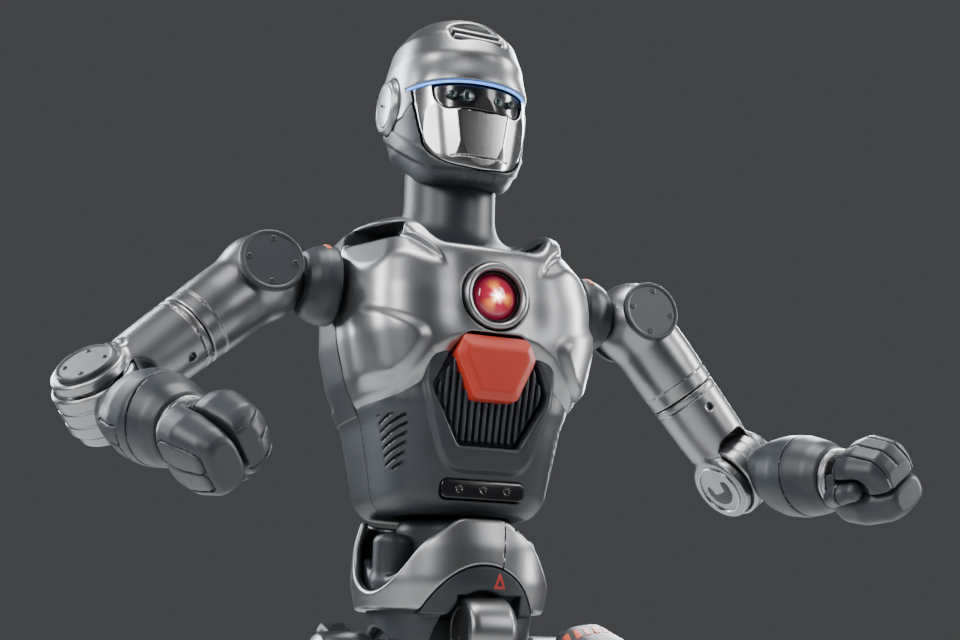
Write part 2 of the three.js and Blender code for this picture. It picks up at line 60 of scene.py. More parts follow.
def spot(joint):
    return Vector(joints[joint]["pos_m"])


def axis(joint):
    return Vector(joints[joint]["axis"]).normalized()


def placed(at, x=None, y=None, z=None):
    """The frame of a body, from where it starts and two of its axes; its unit is a millimetre."""
    x = x or y.cross(z)
    y = y or z.cross(x)
    z = z or x.cross(y)
    place = Matrix((x, y, z)).transposed().to_4x4()
    place.translation = at
    return place @ Matrix.Scale(MM, 4)


def arm_frames(name):
    at_shoulder, at_elbow = spot(f"shoulder_pitch_{name}"), spot(f"elbow_{name}")
    pitch, roll = axis(f"shoulder_pitch_{name}"), axis(f"shoulder_roll_{name}")
    yaw, bend, turn = (axis(f"{joint}_{name}") for joint in ("shoulder_yaw", "elbow", "wrist"))
    return {
        "link": placed(at_shoulder, x=pitch, y=roll),
        "housing": placed(at_shoulder, y=roll, z=yaw),
        "upper": placed(spot(f"shoulder_yaw_{name}"), x=bend, z=yaw),
        "forearm": placed(at_elbow, x=bend, z=turn),
        "hand": placed(spot(f"wrist_{name}"), x=bend, z=turn),
    }


def leg_frames(name):
    pitch, roll, yaw, bend, ankle, tilt = (
        axis(f"{joint}_{name}")
        for joint in ("hip_pitch", "hip_roll", "hip_yaw", "knee", "ankle_pitch", "ankle_roll")
    )
    at_knee, at_ankle = spot(f"knee_{name}"), spot(f"ankle_pitch_{name}")
    return {
        "link": placed(spot(f"hip_pitch_{name}"), x=pitch, y=roll),
        "cross": placed(spot(f"hip_roll_{name}"), y=roll, z=yaw),
        "thigh": placed(spot(f"hip_yaw_{name}"), x=bend, z=yaw),
        "shin": placed(at_knee, x=bend, z=(at_knee - at_ankle).normalized()),
        "ankle": placed(at_ankle, x=ankle, y=tilt),
        "foot": placed(at_ankle, y=tilt, z=Vector((0, 0, 1))),
    }


HIPS = (spot("hip_pitch_right") + spot("hip_pitch_left")) / 2
TRUNK = placed(HIPS, x=Vector((1, 0, 0)), z=Vector((0, 0, 1)))
ARMS = {name: arm_frames(name) for name in SIDES}
LEGS = {name: leg_frames(name) for name in SIDES}


# ---------- Fields: distances to a surface, negative inside ----------

def join(a, b, blend=0.0):
    """Both shapes, with a fillet of about the given width where they meet."""
    return -meet(-a, -b, blend)


def meet(a, b, blend=0.0):
    """What both shapes share, with its new edge rounded."""
    if not blend:
        return np.maximum(a, b)
    near = np.maximum(blend - np.abs(a - b), 0) / blend
    return np.maximum(a, b) + near * near * blend / 4


def carve(a, b, blend=0.0):
    return meet(a, -b, blend)


def ramp(value, low, high):
    t = np.clip((value - low) / (high - low), 0, 1)
    return t * t * (3 - 2 * t)


def length(*parts):
    return np.sqrt(sum(part * part for part in parts))


def block(p, centre, half, soft=0.0):
    q = [np.abs(v - c) - h + soft for v, c, h in zip(p, centre, half)]
    outside = length(*(np.maximum(v, 0) for v in q))
    return outside + np.minimum(np.maximum.reduce(q), 0) - soft


def rod(p, a, b, radius):
    """A round-ended bar between two points."""
    along = [end - start for start, end in zip(a, b)]
    size = sum(v * v for v in along)
    t = np.clip(sum((v - s) * w for v, s, w in zip(p, a, along)) / size, 0, 1)
    return length(*(v - s - w * t for v, s, w in zip(p, a, along))) - radius


def drum(p, way, centre, radius, half, soft=0.0):
    """A cylinder along X, Y or Z (way 0, 1 or 2) with rounded rims."""
    q = [v - c for v, c in zip(p, centre)]
    rise = np.abs(q.pop(way)) - half + soft
    out = length(*q) - radius + soft
    return length(np.maximum(out, 0), np.maximum(rise, 0)) + np.minimum(np.maximum(out, rise), 0) - soft


def ball(p, centre, radii):
    q = [(v - c) / r for v, c, r in zip(p, centre, radii)]
    return (length(*q) - 1) * min(radii)


def tilted(p, centre, turn):
    """The points seen from a frame at centre, turned by the given angles in degrees (x, y, z)."""
    spin = Matrix.Identity(3)
    for angle, name in zip(turn, "XYZ"):
        spin = Matrix.Rotation(radians(angle), 3, name) @ spin
    q = [v - c for v, c in zip(p, centre)]
    return [sum(spin[row][column] * q[row] for row in range(3)) for column in range(3)]


def convex(u, v, outline, blend=0.0):
    """Inside a convex outline whose corners run anticlockwise."""
    edges = []
    for (u0, v0), (u1, v1) in zip(outline, outline[1:] + outline[:1]):
        span = ((u1 - u0) ** 2 + (v1 - v0) ** 2) ** 0.5
        edges.append(((u - u0) * (v1 - v0) - (v - v0) * (u1 - u0)) / span)
    inside = edges[0]
    for edge in edges[1:]:
        inside = meet(inside, edge, blend)
    return inside


def above(u, v, line):
    """How far (u, v) lies above a line of points whose u rises; the line goes on level past its ends."""
    us, vs = zip(*line)
    nearest = None
    ends = [(us[0] - 500, vs[0])] + list(line) + [(us[-1] + 500, vs[-1])]
    for (u0, v0), (u1, v1) in zip(ends, ends[1:]):
        du, dv = u1 - u0, v1 - v0
        t = np.clip(((u - u0) * du + (v - v0) * dv) / (du * du + dv * dv), 0, 1)
        far = length(u - u0 - du * t, v - v0 - dv * t)
        nearest = far if nearest is None else np.minimum(nearest, far)
    return np.where(v > np.interp(u, us, vs), nearest, -nearest)


class Column:
    """A smooth column through sections [z, half width, half depth, middle y, squareness]."""

    def __init__(self, sections, blur=12):
        rows = np.array(sorted([list(s) + [0, 2][len(s) - 3:] for s in sections]), float)
        self.heights = np.arange(rows[0, 0] - 3 * blur, rows[-1, 0] + 3 * blur)
        kernel = np.hanning(2 * blur + 1)
        kernel /= kernel.sum()
        self.tables = []
        for row in rows[:, 1:].T:
            table = np.interp(self.heights, rows[:, 0], row)
            table = np.pad(table, blur, mode="edge")
            self.tables.append(np.convolve(table, kernel, mode="valid"))

    def size(self, p):
        x, y, z = p
        width, depth, middle, power = (np.interp(z, self.heights, table) for table in self.tables)
        return (np.abs(x / width) ** power + np.abs((y - middle) / depth) ** power) ** (1 / power)

    def __call__(self, p):
        x, y, z = p
        size = self.size(p)
        slopes = [
            self.size((x + dx, y + dy, z + dz)) - size for dx, dy, dz in ((1, 0, 0), (0, 1, 0), (0, 0, 1))
        ]
        return (size - 1) / np.maximum(length(*slopes), 0.002)


def between(z, low, high):
    return np.maximum(low - z, z - high)


# ---------- Meshes ----------

def slope_of(field, points, step=0.05):
    slopes = []
    for way in range(3):
        ahead, behind = points.copy(), points.copy()
        ahead[way] += step
        behind[way] -= step
        slopes.append((field(ahead) - field(behind)) / (2 * step))
    return np.array(slopes)


def skin(field, low, high, voxel):
    """The surface where a field is zero, between two corners."""
    axes = [np.arange(a - 2 * voxel, b + 3 * voxel, voxel) for a, b in zip(low, high)]
    values = field(np.meshgrid(*axes, indexing="ij"))
    grid = openvdb.FloatGrid(background=3 * voxel)
    grid.copyFromArray(np.clip(values, -3 * voxel, 3 * voxel).astype(np.float32))
    points, quads = grid.convertToQuads(isovalue=0)
    points = points.T.astype(float) * voxel + np.array([a[0] for a in axes])[:, None]
    for _ in range(3):
        slopes = slope_of(field, points)
        step = field(points) * slopes / np.maximum((slopes ** 2).sum(0), 0.05)
        points -= np.clip(step, -voxel / 2, voxel / 2)
    slopes = slope_of(field, points, 0.3)
    normals = slopes / np.maximum(np.linalg.norm(slopes, axis=0), 1e-9)
    return points.T, quads, normals.T


def rounded(outline, radius, steps=4, closed=True):
    """An outline with its corners turned into arcs of up to the given radius."""
    points = [np.array(point, float) for point in outline]
    result = []
    for i, corner in enumerate(points):
        if not closed and i in (0, len(points) - 1):
            result.append(corner)
            continue
        before, after = points[i - 1], points[(i + 1) % len(points)]
        back, ahead = before - corner, after - corner
        back_span, ahead_span = np.linalg.norm(back), np.linalg.norm(ahead)
        cut = min(radius, back_span * 0.45, ahead_span * 0.45)
        start, end = corner + back / back_span * cut, corner + ahead / ahead_span * cut
        for t in np.linspace(0, 1, steps + 1):
            result.append((1 - t) ** 2 * start + 2 * t * (1 - t) * corner + t * t * end)
    return result


def turned(profile, radius=1.5, steps=72):
    """A turned piece about Z; the profile is a list of (radius, height) with rounded corners."""
    line = rounded(profile, radius, closed=False)
    if profile[0][1] > profile[-1][1]:
        line = line[::-1]
    turns = [tau * i / steps for i in range(steps)]
    points = [(r * cos(turn), r * sin(turn), h) for r, h in line for turn in turns]
    faces = []
    for ring in range(len(line) - 1):
        for i in range(steps):
            j = (i + 1) % steps
            low, high = ring * steps, (ring + 1) * steps
            faces.append((low + i, low + j, high + j, high + i))
    return np.array(points), faces, None


def slab(outline, low, high, edge, corner):
    """A plate along Z with a flat outline, its edges rounded."""
    line = rounded(outline, corner)
    mesh = bmesh.new()
    face = mesh.faces.new([mesh.verts.new((x, y, low)) for x, y in line])
    made = bmesh.ops.extrude_face_region(mesh, geom=[face])
    top = [item for item in made["geom"] if isinstance(item, bmesh.types.BMVert)]
    bmesh.ops.translate(mesh, verts=top, vec=(0, 0, high - low))
    bmesh.ops.recalc_face_normals(mesh, faces=mesh.faces[:])
    rims = [e for e in mesh.edges if abs(e.verts[0].co.z - e.verts[1].co.z) < 0.01]
    bmesh.ops.bevel(mesh, geom=rims, offset=edge, segments=3, profile=0.5, affect="EDGES")
    mesh.verts.index_update()
    points = np.array([vert.co[:] for vert in mesh.verts])
    faces = [[vert.index for vert in face.verts] for face in mesh.faces]
    mesh.free()
    return points, faces, None


def tube(path, radius, sides=20, smooth=6):
    """A round bar along a path of points."""
    knots = [Vector(point) for point in path]
    line = []
    for i in range(len(knots) - 1):
        a, b, c, d = (knots[max(0, min(len(knots) - 1, i + k))] for k in (-1, 0, 1, 2))
        for t in np.linspace(0, 1, smooth, endpoint=False):
            line.append(0.5 * (2 * b + (c - a) * t + (2 * a - 5 * b + 4 * c - d) * t ** 2
                               + (3 * b - a - 3 * c + d) * t ** 3))
    line.append(knots[-1])
    points, side = [], None
    for i, at in enumerate(line):
        ahead = (line[min(i + 1, len(line) - 1)] - line[max(i - 1, 0)]).normalized()
        side = (side or ahead.orthogonal()).cross(ahead).cross(ahead) * -1
        side.normalize()
        up = ahead.cross(side)
        turns = [tau * k / sides for k in range(sides)]
        points += [at + (side * cos(turn) + up * sin(turn)) * radius for turn in turns]
    faces = [tuple(range(sides))[::-1], tuple(range(len(points) - sides, len(points)))]
    for ring in range(len(line) - 1):
        for k in range(sides):
            low, high, n = ring * sides, (ring + 1) * sides, (k + 1) % sides
            faces.append((low + k, low + n, high + n, high + k))
    return np.array([point[:] for point in points]), faces, None


def moved(shape, matrix):
    """A mesh carried by a matrix."""
    points, faces, normals = shape
    spin = np.array(matrix.to_3x3())
    points = points @ spin.T + np.array(matrix.translation)
    if normals is not None:
        normals = normals @ spin.T
        normals /= np.maximum(np.linalg.norm(normals, axis=1), 1e-9)[:, None]
    if matrix.determinant() < 0:
        faces = [tuple(face)[::-1] for face in faces]
    return points, faces, normals


def together(*shapes):
    points, faces, start = [], [], 0
    for shape in shapes:
        points.append(shape[0])
        faces += [tuple(int(i) + start for i in face) for face in shape[1]]
        start += len(shape[0])
    return np.concatenate(points), faces, None


def shift(x, y, z):
    return Matrix.Translation((x, y, z))


def spun(angle, name):
    return Matrix.Rotation(radians(angle), 4, name)


TO_X = spun(90, "Y")
TO_FRONT = spun(90, "X")
MIRROR = Matrix.Scale(-1, 4, (1, 0, 0))


def piece(name, shape, place, body, finish, *stands_for):
    """A named piece of the robot, riding on a body and standing for CAD nodes where it replaces them."""
    points, faces, normals = moved(shape, place)
    mesh = bpy.data.meshes.new(name)
    mesh.from_pydata(points.tolist(), [], [tuple(map(int, face)) for face in faces])
    mesh.shade_smooth()
    if normals is None:
        mesh.set_sharp_from_angle(angle=radians(CREASE))
    else:
        mesh.normals_split_custom_set_from_vertices(normals.tolist())
    mesh.materials.append(FINISHES[finish])
    thing = bpy.data.objects.new(name, mesh)
    bpy.context.scene.collection.objects.link(thing)
    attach(thing, body)
    if stands_for:
        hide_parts(*stands_for)


def pair(name, shape, frames, key, body, finish, *stands_for):
    """The same piece for the right and, mirrored, for the left."""
    for side, sign in SIDES.items():
        place = frames[side][key]
        if sign > 0:
            place = place @ MIRROR
        nodes = [f"{node}_{side}" for node in stands_for]
        piece(f"{name}_{side}", shape, place, f"{body}_{side}", finish, *nodes)


# ---------- Finishes ----------

LAMP = {"z": 391, "radius": 37}  # the chest lamp, over the hips


class Nodes:
    """A material's node tree, with short calls for the nodes used here."""

    def __init__(self, name):
        self.material = bpy.data.materials.new(name)
        self.material.use_nodes = True
        self.tree = self.material.node_tree
        self.shader = self.tree.nodes["Principled BSDF"]
        self.place = self.new("ShaderNodeTexCoord").outputs["Object"]

    def new(self, kind, links=(), **settings):
        node = self.tree.nodes.new(kind)
        for key, value in settings.items():
            setattr(node, key, value)
        for socket, source in dict(links).items():
            self.put(node, socket, source)
        return node

    def put(self, node, socket, source):
        if isinstance(source, bpy.types.NodeSocket):
            self.tree.links.new(source, node.inputs[socket])
        else:
            node.inputs[socket].default_value = source

    def sum(self, operation, a, b=0.0, c=0.0):
        return self.new("ShaderNodeMath", {0: a, 1: b, 2: c}, operation=operation).outputs[0]

    def noise(self, scale, detail=2.0, place=None, rough=0.5):
        links = {"Vector": place or self.place, "Scale": scale, "Detail": detail, "Roughness": rough}
        return self.new("ShaderNodeTexNoise", links).outputs["Fac"]

    def spread(self, value, low, high, to_low, to_high):
        links = {"Value": value, 1: low, 2: high, 3: to_low, 4: to_high}
        return self.new("ShaderNodeMapRange", links).outputs[0]

    def blend(self, factor, a, b):
        links = {"Factor": factor, 6: (*a, 1) if isinstance(a, tuple) else a,
                 7: (*b, 1) if isinstance(b, tuple) else b}
        return self.new("ShaderNodeMix", links, data_type="RGBA").outputs[2]

    def shade(self, **links):
        for key, source in links.items():
            self.put(self.shader, key.replace("_", " "), source)


def coated(name, color, rough, metal, grain, depth, vary=0.12, coat=0.0, flake=0.0):
    """A sprayed or moulded surface: fine grain, and slow drifts of colour and gloss."""
    nodes = Nodes(name)
    drift = nodes.noise(9, 3)
    light = tuple(min(1, value * (1 + vary)) for value in color)
    deep = tuple(value * (1 - vary) for value in color)
    nodes.shade(Base_Color=nodes.blend(nodes.spread(drift, 0.3, 0.7, 0, 1), deep, light))
    fine = nodes.noise(grain, 2)
    gloss = nodes.sum("ADD", nodes.spread(drift, 0.3, 0.7, rough - 0.03, rough + 0.04),
                      nodes.spread(fine, 0.35, 0.65, -flake, flake))
    bump = nodes.new("ShaderNodeBump", {"Strength": 0.5, "Distance": depth, "Height": fine})
    nodes.shade(Roughness=gloss, Metallic=metal, Normal=bump.outputs[0])
    nodes.shade(Coat_Weight=coat, Coat_Roughness=0.2)
    return nodes.material


def brushed(name, color, rough):
    """Turned bare metal, with fine streaks and worn patches."""
    nodes = Nodes(name)
    stretched = nodes.new("ShaderNodeMapping", {"Vector": nodes.place, "Scale": (40, 900, 900)}).outputs[0]
    streaks = nodes.noise(1, 3, stretched)
    worn = nodes.noise(60, 4)
    nodes.shade(Base_Color=nodes.blend(streaks, tuple(0.82 * value for value in color), color))
    gloss = nodes.sum("ADD", nodes.spread(streaks, 0.3, 0.7, rough - 0.05, rough + 0.06),
                      nodes.spread(worn, 0.4, 0.7, 0, 0.07))
    bump = nodes.new("ShaderNodeBump", {"Strength": 0.25, "Distance": 0.00004, "Height": streaks})
    nodes.shade(Roughness=gloss, Metallic=1.0, Normal=bump.outputs[0])
    return nodes.material


def glowing(name, color, light, strength):
    nodes = Nodes(name)
    haze = nodes.noise(260, 2)
    nodes.shade(Base_Color=nodes.blend(haze, tuple(0.8 * value for value in color), color), Roughness=0.25,
                Emission_Color=nodes.blend(haze, tuple(0.85 * value for value in light), light))
    nodes.shade(Emission_Strength=strength)
    return nodes.material


def lamp_finish():
    """The domed lamp: a white heart, six orange petals and a deep magenta rim."""
    nodes = Nodes("lamp_glass")
    middle = HIPS + Vector((0, 0, LAMP["z"] * MM))
    split = nodes.new("ShaderNodeSeparateXYZ", {"Vector": nodes.place}).outputs
    across = nodes.sum("SUBTRACT", split[0], middle.x)
    up = nodes.sum("SUBTRACT", split[2], middle.z)
    far = nodes.sum("SQRT", nodes.sum("MULTIPLY_ADD", across, across, nodes.sum("MULTIPLY", up, up)))
    turn = nodes.sum("ARCTAN2", up, across)
    petal = nodes.spread(nodes.sum("COSINE", nodes.sum("MULTIPLY_ADD", turn, 3, 0.6)), -0.3, 0.9, 0, 1)
    reach = nodes.spread(far, 0.005, 0.02, 1, 0)
    flame = nodes.sum("MULTIPLY", petal, nodes.spread(far, 0.0205, 0.0115, 0, 1))
    rim = nodes.spread(far, 0.0165, 0.0245, 0, 1)
    base = nodes.blend(rim, (0.42, 0.02, 0.05), (0.16, 0.005, 0.05))
    base = nodes.blend(flame, base, (0.9, 0.3, 0.06))
    rays = nodes.sum("COSINE", nodes.sum("MULTIPLY_ADD", turn, 6, 0.4))
    star = nodes.sum("SUBTRACT", far, nodes.sum("MULTIPLY_ADD", rays, 0.0009, 0.0009))
    core = nodes.spread(star, 0.0005, 0.0105, 1, 0)
    heart = nodes.sum("MULTIPLY", core, core)
    glow = nodes.blend(heart, nodes.blend(flame, (0.3, 0.01, 0.03), (0.75, 0.2, 0.05)), (1, 0.93, 0.86))
    power = nodes.sum("ADD", nodes.sum("MULTIPLY", reach, 0.8), nodes.sum("MULTIPLY", heart, 9))
    nodes.shade(Base_Color=base, Emission_Color=glow, Roughness=0.06, Coat_Weight=1.0)
    nodes.shade(Emission_Strength=nodes.sum("ADD", power, 0.35))
    return nodes.material


FINISHES = {
    "silver": coated("silver_paint", (0.29, 0.295, 0.305), 0.33, 1.0, 2600, 0.00003, 0.05, flake=0.04),
    "dark": coated("dark_moulding", (0.021, 0.026, 0.033), 0.42, 0.0, 1500, 0.00006, 0.12, flake=0.04),
    "rib": coated("rib_moulding", (0.028, 0.033, 0.04), 0.38, 0.1, 1500, 0.00005),
    "casting": coated("anodised_casting", (0.06, 0.065, 0.07), 0.42, 0.7, 900, 0.00008),
    "steel": brushed("turned_steel", (0.5, 0.505, 0.51), 0.26),
    "polished": coated("mirror_mask", (0.46, 0.465, 0.47), 0.2, 1.0, 1800, 0.00001, 0.03),
    "black": coated("gloss_window", (0.006, 0.006, 0.008), 0.09, 0.0, 700, 0.00001, 0.2, coat=1.0),
    "glass": coated("lens_glass", (0.012, 0.035, 0.034), 0.08, 0.3, 700, 0.00001, 0.3, coat=1.0),
    "red": coated("red_moulding", (0.42, 0.032, 0.018), 0.4, 0.0, 1500, 0.00005, 0.08),
    "orange": coated("orange_marking", (0.72, 0.12, 0.03), 0.42, 0.0, 1500, 0.00004, 0.08),
    "rubber": coated("sole_rubber", (0.02, 0.02, 0.021), 0.8, 0.0, 700, 0.00012, 0.2),
    "strip": glowing("blue_light", (0.1, 0.28, 0.8), (0.1, 0.33, 1.0), 1.9),
    "lamp": lamp_finish(),
}


# ---------- Torso ----------

HULL = Column([
    (163, 84, 90, 14, 3.4), (178, 95, 102, 14, 3.6), (220, 102, 113, 14, 3.6), (262, 110, 121, 14, 3.6),
    (305, 129, 130, 14, 3.8), (350, 140, 132, 14, 3.8), (395, 143, 130, 14, 3.6), (440, 142, 122, 14, 3.2),
    (472, 135, 106, 14, 2.8), (490, 106, 86, 16, 2.3), (500, 66, 64, 24, 2),
])
NECK_Y = 28
BELLY_WINDOW = 187  # its height
CREST = [(30, 352), (50, 346), (72, 331), (103, 290), (112, 285)]  # where the silver front turns under
HEM = [(30, 334), (46, 326), (73, 298), (93, 270), (104, 266)]  # its lower edge
CHEST_PLATE = [(190, 398), (108, 371), (77, 355), (70, 344), (76, 324), (103, 290), (190, 284)]
PANEL = [(-60, 232), (34, 232), (64, 286), (66, 304), (48, 327), (37.5, 349.5), (-60, 349.5)]
PANEL_FRAME = [(-60, 202), (40, 203), (52, 214), (74, 276), (78, 310), (60, 420), (-60, 420)]
SIDE_SLITS = {"pitch": 8.6, "low": 206, "high": 264, "slope": 0.42, "wide": 1.7}


def panel_edge(p, grow=0.0):
    return convex(np.abs(p[0]), p[2], PANEL, 4) - grow


def lamp_edge(p, grow=0.0):
    return length(p[0], p[2] - LAMP["z"]) - LAMP["radius"] - grow


def rim_line(p):
    """How far inside the raised rim that runs from the shoulder's top down to the breast."""
    return (91 - np.abs(p[0])) * 0.853 + (p[2] - 487) * 0.522


def grab_frame(p):
    """Points seen from a grab slot: how far out, how far back along the slot, and how high."""
    wide, back, up = np.abs(p[0]) - 115.5, p[1] + 39.5, p[2] - 458
    return 0.9 * wide - 0.44 * back, 0.44 * wide + 0.9 * back, up


def grab_bowl(p):
    """The bowl in each front shoulder: a floor that falls away outwards and forwards, under the rim."""
    out, along, up = grab_frame(p)
    outer = -(0.82 * out + 0.575 * up)
    front = (p[1] + 79) * 0.747 - (p[2] - 456) * 0.664
    floor = join(outer, front, 16)
    wall = (0.8 * np.minimum(up, 0) - out - 3) * 0.8
    bowl = meet(meet(floor, wall, 5), np.abs(along + 24) - 70, 12)
    return meet(bowl, rim_line(p) + 2, 8)


def grab_hole(p):
    """The hand hole that goes in from the top of the bowl, under the shoulder's edge."""
    return block(grab_frame(p), (-24, 0, 8), (30, 41, 8.5), 6)


def neck_hollow(p):
    """Above the low collar that the neck rises from."""
    x, y, z = p
    rise = 449 + 0.24 * (y + 100) + 14 * ramp(y, -30, 40)
    return meet(rise - z, -rim_line(p) + 5, 12)


def chest_field(p):
    x, y, z = p
    wide = np.abs(x)
    front = ramp(-y, 15, 62)
    body = HULL(p)
    plate = convex(wide, z, CHEST_PLATE, 9)
    body = body - 5 * ramp(-plate, -2, 15) * front
    body = body + 3.5 * np.exp(-((wide - 42) / 20) ** 2) * ramp(z, 335, 375) * ramp(480 - z, 0, 60) * front
    crest = above(wide, z, CREST)
    body = body + 9 * ramp(-crest, 0, 22) * ramp(-y, -20, 20)
    body = meet(body, -above(wide, z, HEM), 3)
    body = meet(body, y + 0.6, 2)
    body = carve(body, grab_bowl(p), 4)
    body = carve(body, grab_hole(p), 4)
    body = carve(body, neck_hollow(p), 5)
    body = carve(body, meet(panel_edge(p, 1.0), y + 60), 2.5)
    body = carve(body, meet(lamp_edge(p, 0.8), y + 60), 3)
    return body


def back_field(p):
    x, y, z = p
    wide = np.abs(x)
    body = HULL(p)
    body = body + 3 * ramp(wide, 74, 78) * ramp(y, 60, 75) * ramp(z, 280, 292) * ramp(430 - z, 0, 12)
    spine = block(p, (0, 150, 350), (54, 30, 66), 8)
    body = carve(body, block(p, (0, 150, 335), (56, 18, 69), 6), 3)
    body = join(body, meet(spine, between(y, 100, 136)), 3)
    body = meet(body, 0.6 - y, 2)
    body = meet(body, 267 - z, 2)
    body = meet(body, -above(-y, z, [(-40, 267), (0, 268), (30, 268)]), 2)
    vents = np.abs((z - 300) % 13 - 6.5) - 2
    vents = meet(vents, block(p, (0, 137, 332), (38, 9, 46), 3))
    body = carve(body, vents, 1)
    sockets = block((wide, y, z), (66, 140, 374), (9, 24, 20), 3)
    body = carve(body, sockets, 1.5)
    return carve(body, neck_hollow(p), 5)


def neck_field(p):
    """The neck sleeve, which flares out over the collar."""
    x, y, z = p
    sleeve = length(x, y - NECK_Y) - 53.5
    flare = meet(meet(-neck_hollow((x, y, z + 1.5)), HULL(p) + 7), 425 - z)
    flare = meet(flare, 4 - rim_line(p))
    return meet(join(sleeve, flare, 34), between(z, 428, 572), 2)


def abdomen_field(p):
    x, y, z = p
    wide = np.abs(x)
    body = HULL(p) + 1.5 + 7 * ramp(z, 270, 300)
    belly = convex(wide, z, PANEL_FRAME, 8)
    body = body - 5 * ramp(-belly, -1, 5) * ramp(-y, 30, 60)
    body = meet(body, between(z, 163, 330), 9)
    body = meet(body, z - 340, 2)
    body = carve(body, meet(panel_edge(p, 1.0), y + 60), 5)
    slot = block(p, (0, -92, BELLY_WINDOW), (47, 22, 10.5), 7)
    body = carve(body, slot, 3)
    slits = z - SIDE_SLITS["low"] + SIDE_SLITS["slope"] * (y + 66)
    pitch = SIDE_SLITS["pitch"]
    slits = np.abs(slits % pitch - pitch / 2) - SIDE_SLITS["wide"]
    room = meet(between(z, SIDE_SLITS["low"], SIDE_SLITS["high"]), between(y, -86, -48))
    deep = meet(slits, meet(room, -(HULL(p) + 6)))
    body = carve(body, meet(deep, 84 - wide), 0.8)
    seam = meet(np.abs(y) - 0.8, -(HULL(p) + 4.5))
    body = carve(body, seam, 1)
    waist = length(x, y) - 64
    return carve(body, meet(waist, z - 172), 2)


def core_field(p):
    """The dark inner frame, seen only through the gaps."""
    body = HULL(p) + 10
    body = carve(body, meet(panel_edge(p, 3), p[1] + 80), 2)
    body = carve(body, meet(lamp_edge(p, 3), p[1] + 80), 2)
    body = carve(carve(body, grab_bowl(p) - 6, 2), grab_hole(p) - 3, 2)
    body = carve(body, neck_hollow(p) - 6, 2)
    body = carve(body, block(p, (0, -92, BELLY_WINDOW), (52, 26, 16), 3), 2)
    body = carve(body, block(p, (0, 150, 335), (62, 60, 76), 3), 2)
    return meet(body, between(p[2], 170, 452), 3)


def ribs_shape():
    """The ribbed panel: a backing plate with upright bars."""
    def field(p):
        x, y, z = p
        back = meet(HULL(p) + 13, panel_edge(p, -0.6), 2)
        back = meet(back, y + 70)
        bars = np.abs((x + 100) % 7.6 - 3.8) - 1.9
        bars = meet(bars, -(y + 120))
        bars = meet(meet(HULL(p) + 5, bars, 1.6), panel_edge(p, -4), 2)
        return join(back, meet(bars, y + 84), 1)
    return skin(field, (-70, -125, 228), (70, -70, 356), 1.3)


def badge_shape():
    """A six-sided boss with broad bevels and a ledge along its top."""
    outline = [(-24, 278), (24, 278), (46, 325), (36, 347), (-36, 347), (-46, 325)]

    def field(p):
        x, y, z = p
        edge = convex(x, z, outline, 5)
        face = -(y + 124.5) - 0.03 * (z - 312)
        bevel = (edge + 9 + face * 2) / 5 ** 0.5
        ledge = (z - 334) * 0.5 - (y + 124.5) * 0.87
        body = meet(meet(edge, face, 1.5), bevel, 1.2)
        return meet(meet(body, ledge, 1.2), y + 100)

    return skin(field, (-48, -127, 274), (48, -98, 350), 1.2)


def build_torso():
    shape = skin(chest_field, (-150, -140, 255), (150, 2, 506), 1.9)
    piece("chest_front", shape, TRUNK, "torso", "silver", "chest_shell")
    shape = skin(back_field, (-150, -2, 255), (150, 150, 506), 2.4)
    piece("back_cover", shape, TRUNK, "torso", "dark", "back_shell")
    shape = skin(abdomen_field, (-132, -125, 160), (132, 145, 344), 1.7)
    piece("belly_cover", shape, TRUNK, "torso", "dark", "abdomen_shell")
    shape = skin(core_field, (-140, -125, 165), (140, 150, 456), 4)
    piece("torso_core", shape, TRUNK, "torso", "casting", "torso_frame")
    piece("belly_ribs", ribs_shape(), TRUNK, "torso", "rib", "chest_grille")
    piece("badge", badge_shape(), TRUNK, "torso", "red", "chest_badge")
    lens_place = TRUNK @ shift(0, 0, LAMP["z"]) @ TO_FRONT
    bezel = [(28.2, 96), (28.2, 115), (30, 119.6), (32.6, 121.2), (35.6, 120), (36.6, 117), (36.6, 96)]
    piece("lamp_ring", turned(bezel + bezel[:1], 1.4, 96), lens_place, "torso", "silver", "lamp_bezel")
    cup = turned([(0, 98), (27.8, 98), (27.8, 112), (25.6, 114), (24.8, 104), (0, 102)], 0.8, 96)
    piece("lamp_cup", cup, lens_place, "torso", "black")
    glass = turned([(0, 103), (24.6, 104), (24.4, 110), (19.5, 115), (10, 118), (0, 118.8)], 2.5, 96)
    piece("lamp_dome", glass, lens_place, "torso", "lamp", "chest_lamp")
    window = slab([(-46.4, -9.6), (46.4, -9.6), (46.4, 9.6), (-46.4, 9.6)], 84, 89, 0.8, 6)
    place = TRUNK @ shift(0, 0, BELLY_WINDOW) @ TO_FRONT
    piece("belly_window", window, place, "torso", "black", "sensor_window")
    for x in (-27, 0, 27):
        eye = turned([(0, 88), (4.6, 88), (4.6, 90), (3.4, 90), (2.8, 89.2), (0, 89.6)], 0.4, 32)
        piece(f"belly_eye_{x + 50}", eye, TRUNK @ shift(x, 0, BELLY_WINDOW) @ TO_FRONT, "torso", "black")
    shape = skin(neck_field, (-112, -112, 430), (112, 100, 574), 2.2)
    piece("neck_sleeve", shape, TRUNK, "torso", "dark", "neck_column")
    bar = [(-66, 136, 374), (-66, 158, 374), (-61, 169, 374), (-48, 175, 374), (0, 177, 374)]
    bar += [(-x, y, z) for x, y, z in bar[-2::-1]]
    foot = slab([(-6, -16), (6, -16), (6, 16), (-6, 16)], -147, -127, 1.2, 2)
    feet = [moved(foot, shift(x, 0, 374) @ TO_FRONT) for x in (-66, 66)]
    piece("carry_handle", together(tube(bar, 6), *feet), TRUNK, "torso", "steel", "rear_handle")


# ---------- Head ----------

